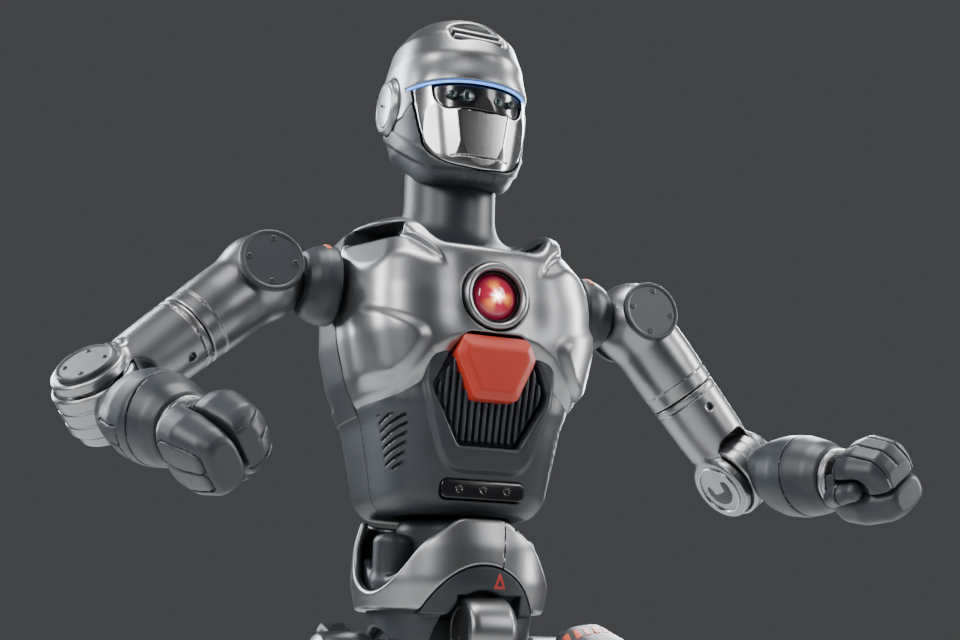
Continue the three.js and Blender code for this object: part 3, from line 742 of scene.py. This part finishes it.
EAR = {"y": 30, "z": 642}
SKULL = Column([
    (524, 38, 42, -14, 2.2), (536, 46, 50, -12, 2.2), (546, 54, 58, -9, 2.2), (557, 60, 65, -5, 2.2),
    (585, 74, 86, 12, 2.2), (617, 79, 96, 19, 2.2), (650, 80, 99, 24, 2.2), (687, 78, 97, 26, 2.1),
    (717, 70, 86, 28, 2.1), (740, 52, 64, 30, 2), (753, 28, 36, 32, 2), (758, 12, 16, 32, 2),
    (764, 1, 2, 32, 2),
], 7)
BROW = 646  # height of the light strip
WINDOW = [(-44, 616), (44, 616), (53, 627), (55, 646), (-55, 646), (-53, 627)]
HALF_FACE = [(19, 548), (40, 554), (57, 570), (69, 620), (70, 649)]
FACE = [(-x, z) for x, z in HALF_FACE[::-1]] + HALF_FACE
VENT_TILT = 53.6
VENT = Matrix.Translation((0, -50, 719)) @ Matrix.Rotation(radians(VENT_TILT), 4, "X")


def visor(p):
    """The set-back face: five polished facets under the brow."""
    x, y, z = p
    wide = np.abs(x) - 0.13 * (z - 600)
    lean = (z - 590) * 0.05
    middle = -(y + 69.5 + lean) + 0.0012 * x * x
    side = (wide - 27) * 0.55 - (y + 69.5 + lean) * 0.835
    cheek = (wide - 46) * 0.726 - (y + 57 + lean) * 0.688
    return meet(meet(middle, side, 1.2), cheek, 1.2)


def face_edge(p, grow=0.0):
    return convex(p[0], p[2], FACE, 6) - grow


def head_seam(y):
    """Where the dark side covers meet the silver: level at the back, up to the light strip in front."""
    return np.minimum(617 - 0.8 * np.minimum(y + 10, 0), BROW - 1)


def cranium_field(p):
    x, y, z = p
    body = SKULL(p)
    body = body - 2.5 * ramp(-y, 20, 50) * ramp(z, BROW - 2, BROW + 6) * ramp(BROW + 34 - z, 0, 26)
    body = carve(body, meet(face_edge(p, 1.0), meet(y + 12, z - BROW - 2)), 2)
    groove = meet(between(z, BROW, BROW + 3.8), meet(-(SKULL(p) + 2.2), y + 14))
    body = carve(body, groove, 1)
    slot = block(tilted(p, VENT.translation, (VENT_TILT, 0, 0)), (0, 0, 6), (36, 18, 16), 11)
    body = carve(body, slot, 4)
    rear = meet(np.abs(z - 672 - 0.1 * (y - 60)) - 0.7, meet(-(SKULL(p) + 2), 62 - y))
    body = carve(body, rear, 1)
    side = drum(p, 0, (0, EAR["y"], EAR["z"]), 34, 120)
    body = carve(body, meet(side, 69 - np.abs(x)), 3)
    body = meet(body, z - 757, 4)
    return meet(body, head_seam(y) + 0.4 - z, 2)


def jaw_field(p):
    x, y, z = p
    body = SKULL(p) + 0.6
    ridge = above(-y, z, [(-70, 625), (-20, 600), (20, 574), (44, 560), (62, 556)])
    body = body - 2.2 * ramp(12 - np.abs(ridge), 0, 5)
    body = carve(body, meet(face_edge(p, 1.0), y + 12), 2.5)
    side = drum(p, 0, (0, EAR["y"], EAR["z"]), 34, 120)
    body = carve(body, meet(side, 69 - np.abs(x)), 3)
    chin = convex(np.abs(x), z, [(0, 533), (15, 533), (20, 546), (0, 546)], 3)
    body = body + 1.4 * ramp(-chin, -0.8, 1.2) * (y < 0)
    body = carve(body, meet(length(x, y - NECK_Y) - 57, z - 573), 3)
    body = meet(body, 538 - z + 0.1 * (y + 20), 9)
    return meet(body, z - head_seam(y) + 0.4, 2)


def mask_field(p):
    x, y, z = p
    body = meet(meet(visor(p), SKULL(p) + 1.2), face_edge(p, -0.4), 1.5)
    gap = convex(x, z, WINDOW, 5) - 0.8
    body = carve(body, meet(gap, y + 40), 1.2)
    crack = meet(np.abs(z - 562) - 0.7, -(visor(p) + 2.4))
    body = carve(body, meet(crack, np.abs(x) - 34), 0.6)
    return meet(body, meet(y + 8, z - BROW + 0.6), 1)


def window_field(p):
    x, y, z = p
    body = meet(SKULL(p) + 4.5, -(y + 71.5))
    return meet(meet(body, convex(x, z, WINDOW, 5) + 0.6, 2), y + 34)


def strip_field(p):
    body = meet(SKULL(p) + 0.4, -(SKULL(p) + 3))
    body = meet(body, between(p[2], BROW + 0.5, BROW + 3.3), 0.8)
    return meet(body, p[1] + 16)


def build_head():
    for name, field, low, high, voxel, finish, node in (
        ("cranium", cranium_field, (-84, -78, 610), (84, 126, 764), 1.7, "silver", "head_shell"),
        ("jaw", jaw_field, (-84, -76, 520), (84, 126, 649), 1.7, "dark", "jaw_shell"),
        ("face_mask", mask_field, (-74, -76, 545), (74, -10, 650), 1.3, "polished", "face_plate"),
        ("visor_window", window_field, (-56, -74, 614), (56, -30, 648), 1.3, "black", "camera_window"),
        ("brow_light", strip_field, (-80, -78, BROW - 1), (80, -12, BROW + 6), 0.9, "strip", "light_strip"),
    ):
        piece(name, skin(field, low, high, voxel), TRUNK, "head", finish, node)
    for i, (x, z, radius) in enumerate([(-37, 632, 4.6), (-20, 631, 6.8), (17, 630, 5), (34, 631, 4)]):
        eye = turned([(0, 60), (radius + 1, 60), (radius + 1, 66), (radius, 72.6), (radius - 1.2, 72.6),
                      (radius - 1.8, 71.4), (0, 72.2)], 0.5, 40)
        depth = 3.5 if abs(x) > 30 else 0
        piece(f"visor_eye_{i}", eye, TRUNK @ shift(x, depth, z) @ TO_FRONT, "head", "glass")
    slat = slab([(-30, -2.2), (30, -2.2), (30, 2.2), (-30, 2.2)], -12, -3, 1, 2)
    slats = [moved(slat, shift(0, y, 0)) for y in (-6, 6)]
    floor = slab([(-37, -19), (37, -19), (37, 19), (-37, 19)], -18, -9, 1, 9)
    piece("top_vent", floor, TRUNK @ VENT, "head", "casting", "head_vent")
    piece("vent_slats", together(*slats), TRUNK @ VENT, "head", "silver")
    disc = [(0, 70), (33, 70), (33, 79), (30.5, 83.5), (28.6, 84.8), (27.4, 83), (25.6, 83), (24, 84.6),
            (12, 86), (0, 86.4)]
    tick = moved(slab([(-1.7, -8), (1.7, -8), (1.7, 8), (-1.7, 8)], 84, 86.8, 0.5, 1.5), spun(28, "Z"))
    for side, sign in SIDES.items():
        way = MIRROR if sign < 0 else Matrix.Identity(4)
        place = TRUNK @ way @ shift(0, EAR["y"], EAR["z"]) @ TO_X
        piece(f"ear_{side}", turned(disc, 1.2, 96), place, "head", "silver", f"ear_disc_{side}")
        piece(f"ear_tick_{side}", tick, place, "head", "black")


# ---------- Pelvis ----------

SADDLE = Column([
    (20, 96, 94, 0, 2.2), (62, 100, 98, 0, 2.2), (92, 106, 104, 0, 2.2), (130, 104, 102, 0, 2.2),
    (157, 97, 95, 0, 2.2), (170, 94, 92, 0, 2.2),
])


ARCH = {"low": 10, "top": 109, "half": 74}
SCOOP = {"y": -28, "z": 130, "radius": 48}
DRUM = (8, -88, 42)  # the middle of the silver cover under the arch
MARK_X = 16


def arch_edge(p, by=0.0):
    """Inside the tall arch cut in the front of the pelvis, or inside a smaller one."""
    half = ARCH["half"] - by
    tall = (ARCH["top"] - ARCH["low"] - by) / half
    return length(p[0], (p[2] - ARCH["low"]) / tall) - half


def scoop_edge(p):
    """Inside the cut-outs over the hips, whose rims climb to the front of the waist."""
    x, y, z = p
    wide = np.abs(x)
    cup = length(y - SCOOP["y"], np.minimum(z - SCOOP["z"], 0)) - SCOOP["radius"]
    climb = meet((37 - wide) * 0.57 + (150 - z) * 0.82, y - SCOOP["y"])
    return join(meet(cup, 50 - wide), climb, 14)


def saddle_field(p):
    x, y, z = p
    body = meet(SADDLE(p), -(SADDLE(p) + 9))
    body = meet(body, between(z, 62, 157), 5)
    body = carve(body, meet(arch_edge(p), y), 3)
    body = carve(body, scoop_edge(p), 5)
    seam = meet(np.abs(x - 20 - 0.1 * (z - 110)) - 0.7, y)
    body = carve(body, meet(seam, -(SADDLE(p) + 3)), 0.8)
    hole = length((x - 42) / 1.7, z - 147) - 3.2
    return carve(body, meet(hole, y), 1)


def lining_field(p):
    """The dark band under the arch, and the inner frame that shows inside the side cut-outs."""
    x, y, z = p
    wide = np.abs(x)
    body = meet(SADDLE(p) + 12, between(z, 30, 118), 4)
    body = carve(body, meet(arch_edge(p, 24), y + 40), 3)
    body = carve(body, meet(scoop_edge((x, y, z - 14)), 56 - wide), 8)
    body = carve(body, meet(length(y, z) - 46, 60 - wide), 3)
    band = meet(meet(SADDLE(p) + 1.6, -(SADDLE(p) + 12)), between(z, 58, 110), 2)
    band = meet(band, meet(arch_edge(p, 0.9), y + 30), 1.5)
    band = carve(band, arch_edge(p, 26), 4)
    boss = drum((wide, y, z), 2, (72, -16, 110), 21, 32, 9)
    body = join(join(body, band, 2), boss, 6)
    return carve(body, drum(p, 0, DRUM, 37, 36), 2)


def build_pelvis():
    shape = skin(saddle_field, (-110, -108, 58), (110, 108, 160), 1.8)
    piece("hip_saddle", shape, TRUNK, "pelvis", "silver", "pelvis_shell")
    shape = skin(lining_field, (-102, -104, 26), (102, 96, 146), 2)
    piece("hip_lining", shape, TRUNK, "pelvis", "dark", "pelvis_frame")
    axle = moved(turned([(0, -88), (30, -88), (33, -84), (33, 84), (30, 88), (0, 88)], 2, 72), TO_X)
    block_shape = slab([(-73, -43), (73, -43), (73, 51), (-73, 51)], -17, 56, 3, 8)
    piece("hip_axle", together(axle, block_shape), TRUNK, "pelvis", "casting")
    capsule = [(0, -23), (27, -23), (35, -15), (35, 23), (33, 30), (24, 31.5), (22.5, 30), (0, 30.5)]
    place = TRUNK @ shift(*DRUM) @ MIRROR @ TO_X
    piece("crotch_drum", turned(capsule, 4, 96), place, "pelvis", "silver", "crotch_cover")
    tick = moved(slab([(-1.5, -7), (1.5, -7), (1.5, 7), (-1.5, 7)], 29, 32.2, 0.5, 1.4), spun(90, "Z"))
    piece("crotch_tick", tick, place, "pelvis", "black")
    ring = [(0, 112.4), (59.6, 112.4), (59.6, 150), (56, 159.6), (0, 159.6)]
    piece("waist_ring", turned(ring, 4, 96), TRUNK, "pelvis", "dark", "waist_motor")

    def mark(p):
        x, y, z = p[0] - MARK_X, p[1], p[2]
        body = meet(meet(SADDLE(p) + 1.2, -(SADDLE(p) + 3)), y)
        outside = convex(x, z, [(-7, 85), (7, 85), (1, 101), (-1, 101)])
        inside = convex(x, z, [(-3, 87.5), (3, 87.5), (0, 95)])
        return meet(body, carve(outside, inside))

    piece("hip_mark", skin(mark, (6, -106, 83), (26, -94, 103), 0.7), TRUNK, "pelvis", "red")


# ---------- Arms: shapes of the right arm, whose outer side is -X ----------

ARM = {"ball": 48, "cap": 36, "seam": 105, "elbow": 115, "fork": 24.5, "cheek": 37, "hub": 44, "wrist": 150}


def screws(radius, count, height, head=3.4):
    """A ring of countersunk socket screws on a face across Z."""
    shapes = []
    for i in range(count):
        turn = radians(45 + 360 * i / count)
        profile = [(0, -3), (head, -3), (head, 0.5), (head - 1.2, 0.9), (head - 1.6, -1.2), (0, -1.2)]
        shapes.append(moved(turned(profile, 0.3, 20), shift(radius * cos(turn), radius * sin(turn), height)))
    return together(*shapes)


def housing_field(p):
    x, y, z = p
    body = length(x, y, z) - ARM["ball"]
    sleeve = length(x, y) - 40.5 - 1.5 * ramp(z, -100, -60)
    sleeve = meet(sleeve, between(z, -ARM["seam"] + 0.5, 0), 2.5)
    body = join(body, sleeve, 7)
    body = meet(body, np.abs(y) - 45.4, 5)
    face = meet(length(x, z) - ARM["cap"] - 1, 43.4 - np.abs(y))
    body = carve(body, face, 1.5)
    lip = meet(np.abs(z + 88) - 0.6, -(length(x, y) - 38.5))
    return carve(body, lip, 1)


UPPER = Column([(-118, 37, 36.5), (-80, 37, 37), (-50, 39, 38.5), (-0.4, 40.5, 40.5), (20, 40.5, 40.5)], 10)


def upper_field(p):
    x, y, z = p
    body = UPPER(p)
    body = meet(body, between(z, -118, -0.6), 2.5)
    eye = drum(p, 0, (0, 0, -ARM["elbow"]), 38.5, ARM["cheek"], 4)
    body = join(body, eye, 6)
    slot = block(p, (0, 0, -130), (ARM["fork"], 90, 64), 15)
    body = carve(body, slot, 3)
    rest = drum(p, 0, (0, 0, -ARM["elbow"]), 48, ARM["fork"])
    body = carve(body, rest, 2)
    ring = meet(np.abs(z + 9) - 0.6, -(length(x, y) - 38.6))
    body = carve(body, ring, 1)
    port = meet(length(x - 6, z + 26) - 4.6, np.abs(np.abs(y) - 44) - 12)
    body = carve(body, port, 1.2)
    dimple = ball(p, (-45, 0, -74), (12, 16, 9))
    return carve(body, dimple, 2)


FOREARM = Column([
    (-152, 33.5, 33.5), (-147, 35.5, 35.5), (-136, 41, 41), (-110, 46.5, 46.5), (-88, 45.5, 46.5),
    (-66, 38, 42), (-48, 27, 36), (-34, 23.4, 29), (-20, 22, 25), (0, 21, 23), (20, 20, 22),
], 7)


def forearm_field(p):
    x, y, z = p
    body = meet(FOREARM(p), between(z, -149.6, 20), 3)
    hub = length(y, z) - ARM["hub"] - 0.7
    body = carve(body, hub, 2)
    seam = meet(np.abs(z + 112 + 0.16 * y) - 0.8, -(FOREARM(p) + 3))
    body = carve(body, seam, 1)
    cover = convex(np.abs(x), z, [(0, -104), (20, -104), (17, -66), (0, -58)], 6)
    line = meet(np.abs(cover) - 0.7, meet(-(FOREARM(p) + 2.5), 10 - y))
    body = carve(body, line, 0.8)
    for up, across in ((-98, -16), (-92, -8), (-98, 0)):
        pin = meet(length(y + 30 + across * 0.4, z - up) - 2.6, 20 + x)
        body = carve(body, meet(pin, -(FOREARM(p) + 5)), 0.8)
    return body


PALM = Column([
    (-94, 22, 14, 18, 2.8), (-80, 32, 20, 20, 2.8), (-50, 40, 24, 20, 2.8), (-24, 39, 24, 18, 2.8),
    (-8, 33, 24, 10, 2.4),
], 6)
CURL = Column([
    (-94, 22, 14, -8, 2.8), (-80, 33, 24, -14, 2.8), (-50, 38.5, 28, -16, 2.8), (-32, 36, 25, -14, 2.8),
    (-16, 24, 14, -8, 2.6),
], 6)


def palm_field(p):
    x, y, z = p
    body = meet(PALM(p), between(z, -92, -11.6), 5)
    body = meet(body, 0.8 - y, 2.5)
    wrist = meet(length(x, y) - 31, between(z, -24, -11.6), 2)
    body = join(body, wrist, 5)
    plate = convex(np.abs(x), z, [(0, -84), (18, -84), (26, -60), (26, -30), (20, -22), (0, -22)], 6)
    groove = meet(np.abs(plate) - 0.8, meet(-(PALM(p) + 2.6), 24 - y))
    return carve(body, groove, 1)


def fingers_field(p):
    x, y, z = p
    body = meet(CURL(p), between(z, -92, -21.5), 6)
    body = meet(body, y + 0.8, 2.5)
    gaps = 9.5 - np.abs((x + 95) % 19 - 9.5) - 0.8
    gaps = meet(meet(gaps, np.abs(x) - 24), meet(-(CURL(p) + 4), z + 34))
    body = carve(body, gaps, 2)
    knuckle = meet(np.abs(z + 34) - 0.8, -(CURL(p) + 2.6))
    body = carve(body, knuckle, 1)
    thumb = rod(p, (41, -8, -58), (39, -4, -20), 15.5)
    return carve(body, thumb, 2)


def thumb_field(p):
    body = join(rod(p, (38, -8, -54), (41, -6, -38), 10.5), rod(p, (41, -6, -38), (36, 2, -22), 11), 4)
    joint = meet(np.abs(p[2] + 40) - 0.8, -(body + 2.4))
    return carve(body, joint, 1)


def build_arms():
    yoke = [(0, 52), (22, 48), (30, 43), (35, 45), (41, 55), (44.5, 66), (44.5, 78), (42, 81), (0, 81)]
    yoke = moved(turned(yoke, 3, 96), TO_X)
    pair("shoulder_collar", yoke, ARMS, "link", "shoulder_link", "dark", "shoulder_yoke")

    def mark(p):
        body = meet(length(p[1], p[2]) - 45.3, 43 - length(p[1], p[2]))
        spread = np.abs(np.arctan2(-p[1], p[2]) - 0.62) * 45 - 10
        return meet(body, meet(spread, between(p[0], 66, 71)), 0.8)

    pair("yoke_mark", skin(mark, (64, -46, 10), (73, 0, 46), 0.8), ARMS, "link", "shoulder_link", "orange")
    shape = skin(housing_field, (-50, -48, -107), (50, 48, 50), 2)
    pair("shoulder_ball", shape, ARMS, "housing", "shoulder", "silver", "shoulder_housing")
    cap = [(0, 43.6), (35.4, 43.6), (35.4, 48.4), (33.6, 49.8), (31, 49.4), (29.8, 48.8), (0, 49.2)]
    cap = turned(cap, 0.9, 96)
    pair("shoulder_disc", moved(cap, TO_FRONT), ARMS, "housing", "shoulder", "dark", "shoulder_cap")
    pair("shoulder_screws", moved(screws(25, 4, 48.8), TO_FRONT), ARMS, "housing", "shoulder", "casting")
    rear = moved(cap, spun(-90, "X"))
    pair("shoulder_rear_disc", rear, ARMS, "housing", "shoulder", "dark")
    shape = skin(upper_field, (-46, -46, -156), (46, 46, 2), 1.8)
    pair("upper_sleeve", shape, ARMS, "upper", "upper_arm", "silver", "upper_arm_shell")
    cap = turned([(0, 33), (31, 33), (31, 40.6), (29.4, 42), (27.6, 41.2), (26.4, 40.6), (0, 41)], 0.8, 96)
    outside = shift(0, 0, -ARM["elbow"]) @ spun(-90, "Y")
    inside = shift(0, 0, -ARM["elbow"]) @ TO_X
    pair("elbow_cover", moved(cap, outside), ARMS, "upper", "upper_arm", "dark", "elbow_cap")
    pair("elbow_screws", moved(screws(21, 4, 40.8, 2.6), outside), ARMS, "upper", "upper_arm", "casting")
    ring = [(27.5, 33), (30.5, 33), (30.5, 38.6), (29.6, 39.6), (28.4, 39.6), (27.5, 38.6), (27.5, 33)]
    pair("elbow_bearing", moved(turned(ring, 0.6, 96), inside), ARMS, "upper", "upper_arm", "steel")
    plug = turned([(0, 33), (27, 33), (27, 36), (14, 37.8), (0, 38.4)], 0.8, 64)
    pair("elbow_plug", moved(plug, inside), ARMS, "upper", "upper_arm", "dark")
    hub = [(0, 24), (24, 24), (24.6, 17), (30, 15), (36, 20), (41, 23.8), (43.6, 21), (43.8, 10), (42.8, 9),
           (42.8, 7), (43.8, 6)]
    hub = [(r, -z) for r, z in hub] + hub[::-1]
    pair("elbow_drum", moved(turned(hub, 1, 96), TO_X), ARMS, "forearm", "forearm", "silver", "elbow_motor")
    shape = skin(forearm_field, (-50, -50, -152), (50, 50, 24), 1.8)
    pair("forearm", shape, ARMS, "forearm", "forearm", "dark", "forearm_shell")
    ring = [(0, -11), (31, -11), (32.6, -9.6), (32.6, -7), (31.2, -6.4), (31.2, -5), (32.6, -4.4),
            (32.6, -1.8), (31.6, -0.6), (0, -0.6)]
    pair("wrist_band", turned(ring, 0.4, 96), ARMS, "hand", "hand", "steel", "wrist_ring")
    shape = skin(palm_field, (-44, -12, -94), (44, 48, -10), 1.7)
    pair("palm", shape, ARMS, "hand", "hand", "dark", "hand_palm")
    shape = skin(fingers_field, (-42, -48, -94), (42, 1, -18), 1.7)
    pair("fingers", shape, ARMS, "hand", "hand", "dark", "hand_fingers")
    shape = skin(thumb_field, (22, -22, -70), (56, 16, -8), 1.7)
    pair("thumb", shape, ARMS, "hand", "hand", "dark")


# ---------- Legs: shapes of the right leg, whose outer side is -X ----------

LEG = {"roll": 50, "thigh": 195, "knee": 40, "fork": 27.5, "cheek": 41, "hub": 29, "shin": 280}


def bracket_field(p):
    arm = block(p, (0, 50, -20), (15, 5, 46), 3)
    eye = drum(p, 1, (0, 50, -LEG["roll"]), 18, 5, 2)
    spine = block(p, (0, 38, 21), (14, 18, 13), 4)
    return join(join(arm, eye, 6), spine, 10)


THIGH = Column([(-200, 41, 38), (-140, 44, 42), (-80, 50, 48), (-30, 49, 47), (-8, 44, 42), (4, 41, 39)], 12)


def thigh_field(p):
    x, y, z = p
    body = meet(THIGH(p), between(z, -200, -0.8), 3)
    eye = drum(p, 0, (0, 0, -LEG["thigh"]), LEG["knee"] + 0.5, LEG["cheek"], 4)
    body = join(body, eye, 8)
    slot = block(p, (0, 0, -212), (LEG["fork"], 90, 70), 17)
    body = carve(body, slot, 3)
    body = carve(body, drum(p, 0, (0, 0, -LEG["thigh"]), 45, LEG["fork"]), 2)
    room = block(p, (0, -66, -46), (80, 30, 70), 4)
    body = carve(body, room, 2)
    seam = meet(np.abs(z + 124) - 0.8, -(length(x, y) - 42))
    return carve(body, seam, 1)


GUARD = Column([(-116, 30, 9, -43, 3), (-90, 40, 14, -49, 3), (-50, 43, 20, -54, 3), (-24, 44, 22, -58, 3),
                (-4, 43, 24, -60, 3), (44, 38, 22, -62, 3)], 8)


def guard_field(p):
    x, y, z = p
    body = meet(GUARD(p), between(z, -115, 40), 5)
    body = meet(body, y + 36.6 + 13 * ramp(z, 1, 3), 2)
    for height in (-30, -37):
        line = meet(np.abs(z - height) - 0.8, -(GUARD(p) + 2.4))
        body = carve(body, line, 1)
    return body


SHIN = Column([
    (-238, 26, 25), (-200, 34, 36, 4), (-120, 42, 47, 8), (-80, 40, 44, 8), (-52, 28, 34, 4), (-34, 24, 27),
    (0, 23, 25),
], 12)


def shin_field(p):
    x, y, z = p
    body = meet(SHIN(p), between(z, -236, 0), 5)
    body = join(body, drum(p, 0, (0, 0, 0), LEG["hub"], LEG["fork"] - 0.5, 2), 4)
    wide = np.abs(x)
    ears = block((wide, y, z), (31.5, 0, -245), (4.5, 12, 36), 2)
    eyes = drum((wide, y, z), 0, (31.5, 0, -LEG["shin"]), 13, 4.5, 2)
    bridge = block(p, (0, 0, -220), (35.5, 17, 18), 6)
    body = join(join(body, bridge, 12), join(ears, eyes, 4), 4)
    plate = convex(wide, z, [(0, -196), (16, -196), (25, -150), (25, -90), (18, -72), (0, -72)], 6)
    groove = meet(np.abs(plate) - 0.9, meet(y + 20, -(length(x, y) - 30)))
    return carve(body, groove, 1)


FOOT = Column([
    (-60, 43, 112, -36, 3), (-52, 43, 112, -36, 3), (-44, 39, 98, -31, 2.8), (-38, 27, 60, -10, 2.4),
    (-34, 19, 40, 0, 2.2),
], 3)
SOLE = Column([(-70, 43, 113, -36, 3), (-64, 45, 115, -36, 3), (-56, 45, 115, -36, 3)], 2)


def foot_field(p):
    x, y, z = p
    body = meet(FOOT(p), between(z, -57.6, -34), 3)
    lugs = join(block((x, np.abs(y), z), (0, 29.5, -24), (11, 4.5, 24), 2),
                drum((x, np.abs(y), z), 1, (0, 29.5, 0), 12, 4.5, 2), 3)
    body = join(body, lugs, 5)
    toe = meet(np.abs(y + 104) - 0.9, -50 - z)
    return carve(body, toe, 1)


def sole_field(p):
    x, y, z = p
    body = meet(SOLE(p), between(z, -67, -58), 1.6)
    tread = meet(np.abs((y + 300) % 12 - 6) - 1.6, z + 64.6)
    return carve(body, tread, 0.6)


def build_legs():
    dome = [(0, -28), (38, -28), (40, -24), (40, 20), (37, 30), (27, 35.4), (25.4, 34), (0, 36)]
    dome = moved(turned(dome, 3, 96), spun(-90, "Y"))
    pair("hip_cover", dome, LEGS, "link", "hip_link", "silver", "hip_drum")
    shape = skin(bracket_field, (-20, 18, -72), (20, 60, 38), 1.8)
    pair("hip_bracket", shape, LEGS, "link", "hip_link", "casting")
    motor = turned([(0, -40), (24.4, -40), (26, -38), (26, 43), (24.4, 45), (0, 45)], 1.4, 80)
    neck = turned([(0, -34.4), (24, -34.4), (24, -10), (0, -10)], 1.4, 80)
    motor = together(moved(motor, spun(-90, "X")), neck)
    pair("hip_motor", motor, LEGS, "cross", "hip_roll_link", "casting", "hip_roll_motor")
    shape = skin(thigh_field, (-54, -40, -238), (54, 54, 2), 2.1)
    pair("thigh", shape, LEGS, "thigh", "thigh", "silver", "thigh_shell")
    shape = skin(guard_field, (-48, -88, -118), (48, -34, 44), 2)
    pair("thigh_cover", shape, LEGS, "thigh", "thigh", "dark", "thigh_guard")

    def stripes(p):
        x, y, z = p
        pitch = 14.4
        row = np.abs((x + 0.5 * (z - 24) + 5 * pitch) % pitch - pitch / 2) - 4.2
        body = meet(meet(GUARD(p) - 0.5, -(GUARD(p) + 1.2)), row)
        room = meet(between(z, 17, 31), meet(y + 52, np.abs(x) - 36))
        return meet(body, room, 0.6)

    shape = skin(stripes, (-40, -88, 14), (40, -50, 34), 1.0)
    pair("guard_stripes", shape, LEGS, "thigh", "thigh", "orange")
    cap = turned([(0, 37), (32, 37), (32, 43.6), (30.4, 45), (28.6, 44.2), (27.4, 43.6), (0, 44)], 0.8, 96)
    for way, angle in (("outer", -90), ("inner", 90)):
        place = shift(0, 0, -LEG["thigh"]) @ spun(angle, "Y")
        pair(f"knee_{way}_cover", moved(cap, place), LEGS, "thigh", "thigh", "dark")
        pair(f"knee_{way}_screws", moved(screws(22, 4, 43.8, 2.8), place), LEGS, "thigh", "thigh", "casting")
    shape = skin(shin_field, (-46, -50, -296), (46, 50, 32), 2.1)
    pair("shin", shape, LEGS, "shin", "shin", "dark", "shin_shell")
    pins = []
    for half, way in ((26.4, TO_X), (24, TO_FRONT)):
        rim = half - 1.4
        pin = [(0, -half), (10.6, -half), (12, -rim), (12, rim), (10.6, half), (0, half)]
        pins.append(moved(turned(pin, 1, 64), way))
    pair("ankle_joint", together(*pins), LEGS, "ankle", "ankle_link", "steel", "ankle_cross")
    shape = skin(foot_field, (-46, -150, -60), (46, 80, 14), 2.1)
    pair("foot", shape, LEGS, "foot", "foot", "dark", "foot_shell")
    shape = skin(sole_field, (-47, -153, -68), (47, 81, -57), 1.8)
    pair("sole", shape, LEGS, "foot", "foot", "rubber", "foot_sole")


# ---------- What stays from the CAD ----------

KEPT = {"battery_pack": "casting"}


def dress_cad():
    for node, finish in KEPT.items():
        for slot in frame["nodes"][node].material_slots:
            slot.material = FINISHES[finish]


# ---------- Stage ----------

def pale(name, color, rough):
    nodes = Nodes(name)
    drift = nodes.noise(3, 3)
    deep = tuple(0.97 * value for value in color)
    nodes.shade(Base_Color=nodes.blend(drift, deep, color), Roughness=rough)
    return nodes.material


def build_stage():
    floor = bpy.data.meshes.new("floor")
    reach = 30
    floor.from_pydata([(-reach, -reach, 0), (reach, -reach, 0), (reach, reach, 0), (-reach, reach, 0)], [],
                      [(0, 1, 2, 3)])
    floor.materials.append(pale("pale_floor", (0.62, 0.62, 0.61), 0.6))
    thing = bpy.data.objects.new("floor", floor)
    bpy.context.scene.collection.objects.link(thing)
    world = bpy.data.worlds.new("studio")
    world.use_nodes = True
    sky = world.node_tree.nodes["Background"].inputs
    sky["Color"].default_value = (0.62, 0.64, 0.67, 1)
    sky["Strength"].default_value = 0.1
    bpy.context.scene.world = world


def add_light(name, at, size, power, color=(1, 1, 1), aim=(0, 0, 0.75)):
    lamp = bpy.data.lights.new(name, "AREA")
    lamp.shape = "RECTANGLE"
    lamp.size, lamp.size_y = size
    lamp.energy = power
    lamp.color = color
    thing = bpy.data.objects.new(name, lamp)
    thing.location = at
    thing.rotation_euler = (Vector(aim) - Vector(at)).to_track_quat("-Z", "Y").to_euler()
    bpy.context.scene.collection.objects.link(thing)


def build_lights():
    add_light("softbox_left", (-2.5, -0.6, 1.9), (0.5, 1.8), 60)
    add_light("softbox_key", (-1.9, -2.0, 2.0), (0.4, 1.2), 30)
    add_light("softbox_right", (2.2, -0.5, 1.6), (0.4, 2.0), 65)
    add_light("softbox_top", (0.1, -0.2, 2.6), (1.2, 0.9), 45)
    add_light("softbox_front", (1.6, -2.3, 2.1), (0.6, 1.2), 18)
    add_light("rim_left", (-1.4, 1.7, 1.8), (0.5, 1.8), 70, (0.9, 0.95, 1))
    add_light("rim_right", (1.6, 1.6, 1.7), (0.5, 1.8), 70, (0.9, 0.95, 1))


def build_camera():
    """The photograph's view: from the robot's front right, a little below the chest, looking up."""
    turn, rise, roll = radians(23), radians(13), radians(1.2)
    away, aside, lift = 1600, 28, 20
    back = Vector((-sin(turn), -cos(turn), 0))
    side = Vector((cos(turn), -sin(turn), 0))
    eye = back * away + side * aside + Vector((0, 0, lift))
    look = -back * cos(rise) + Vector((0, 0, 1)) * sin(rise)
    up = side.cross(look)
    across = side * cos(roll) + up * sin(roll)
    upright = up * cos(roll) - side * sin(roll)
    camera = bpy.data.objects.new("camera", bpy.data.cameras.new("camera"))
    camera.data.lens = 54.19
    camera.data.sensor_width = 36
    place = Matrix((across, upright, -look)).transposed().to_4x4()
    place.translation = HIPS + eye * MM
    camera.matrix_world = place
    bpy.context.scene.collection.objects.link(camera)
    bpy.context.scene.camera = camera


build_camera()
build_stage()
build_lights()
dress_cad()
build_torso()
build_head()
build_pelvis()
build_arms()
build_legs()
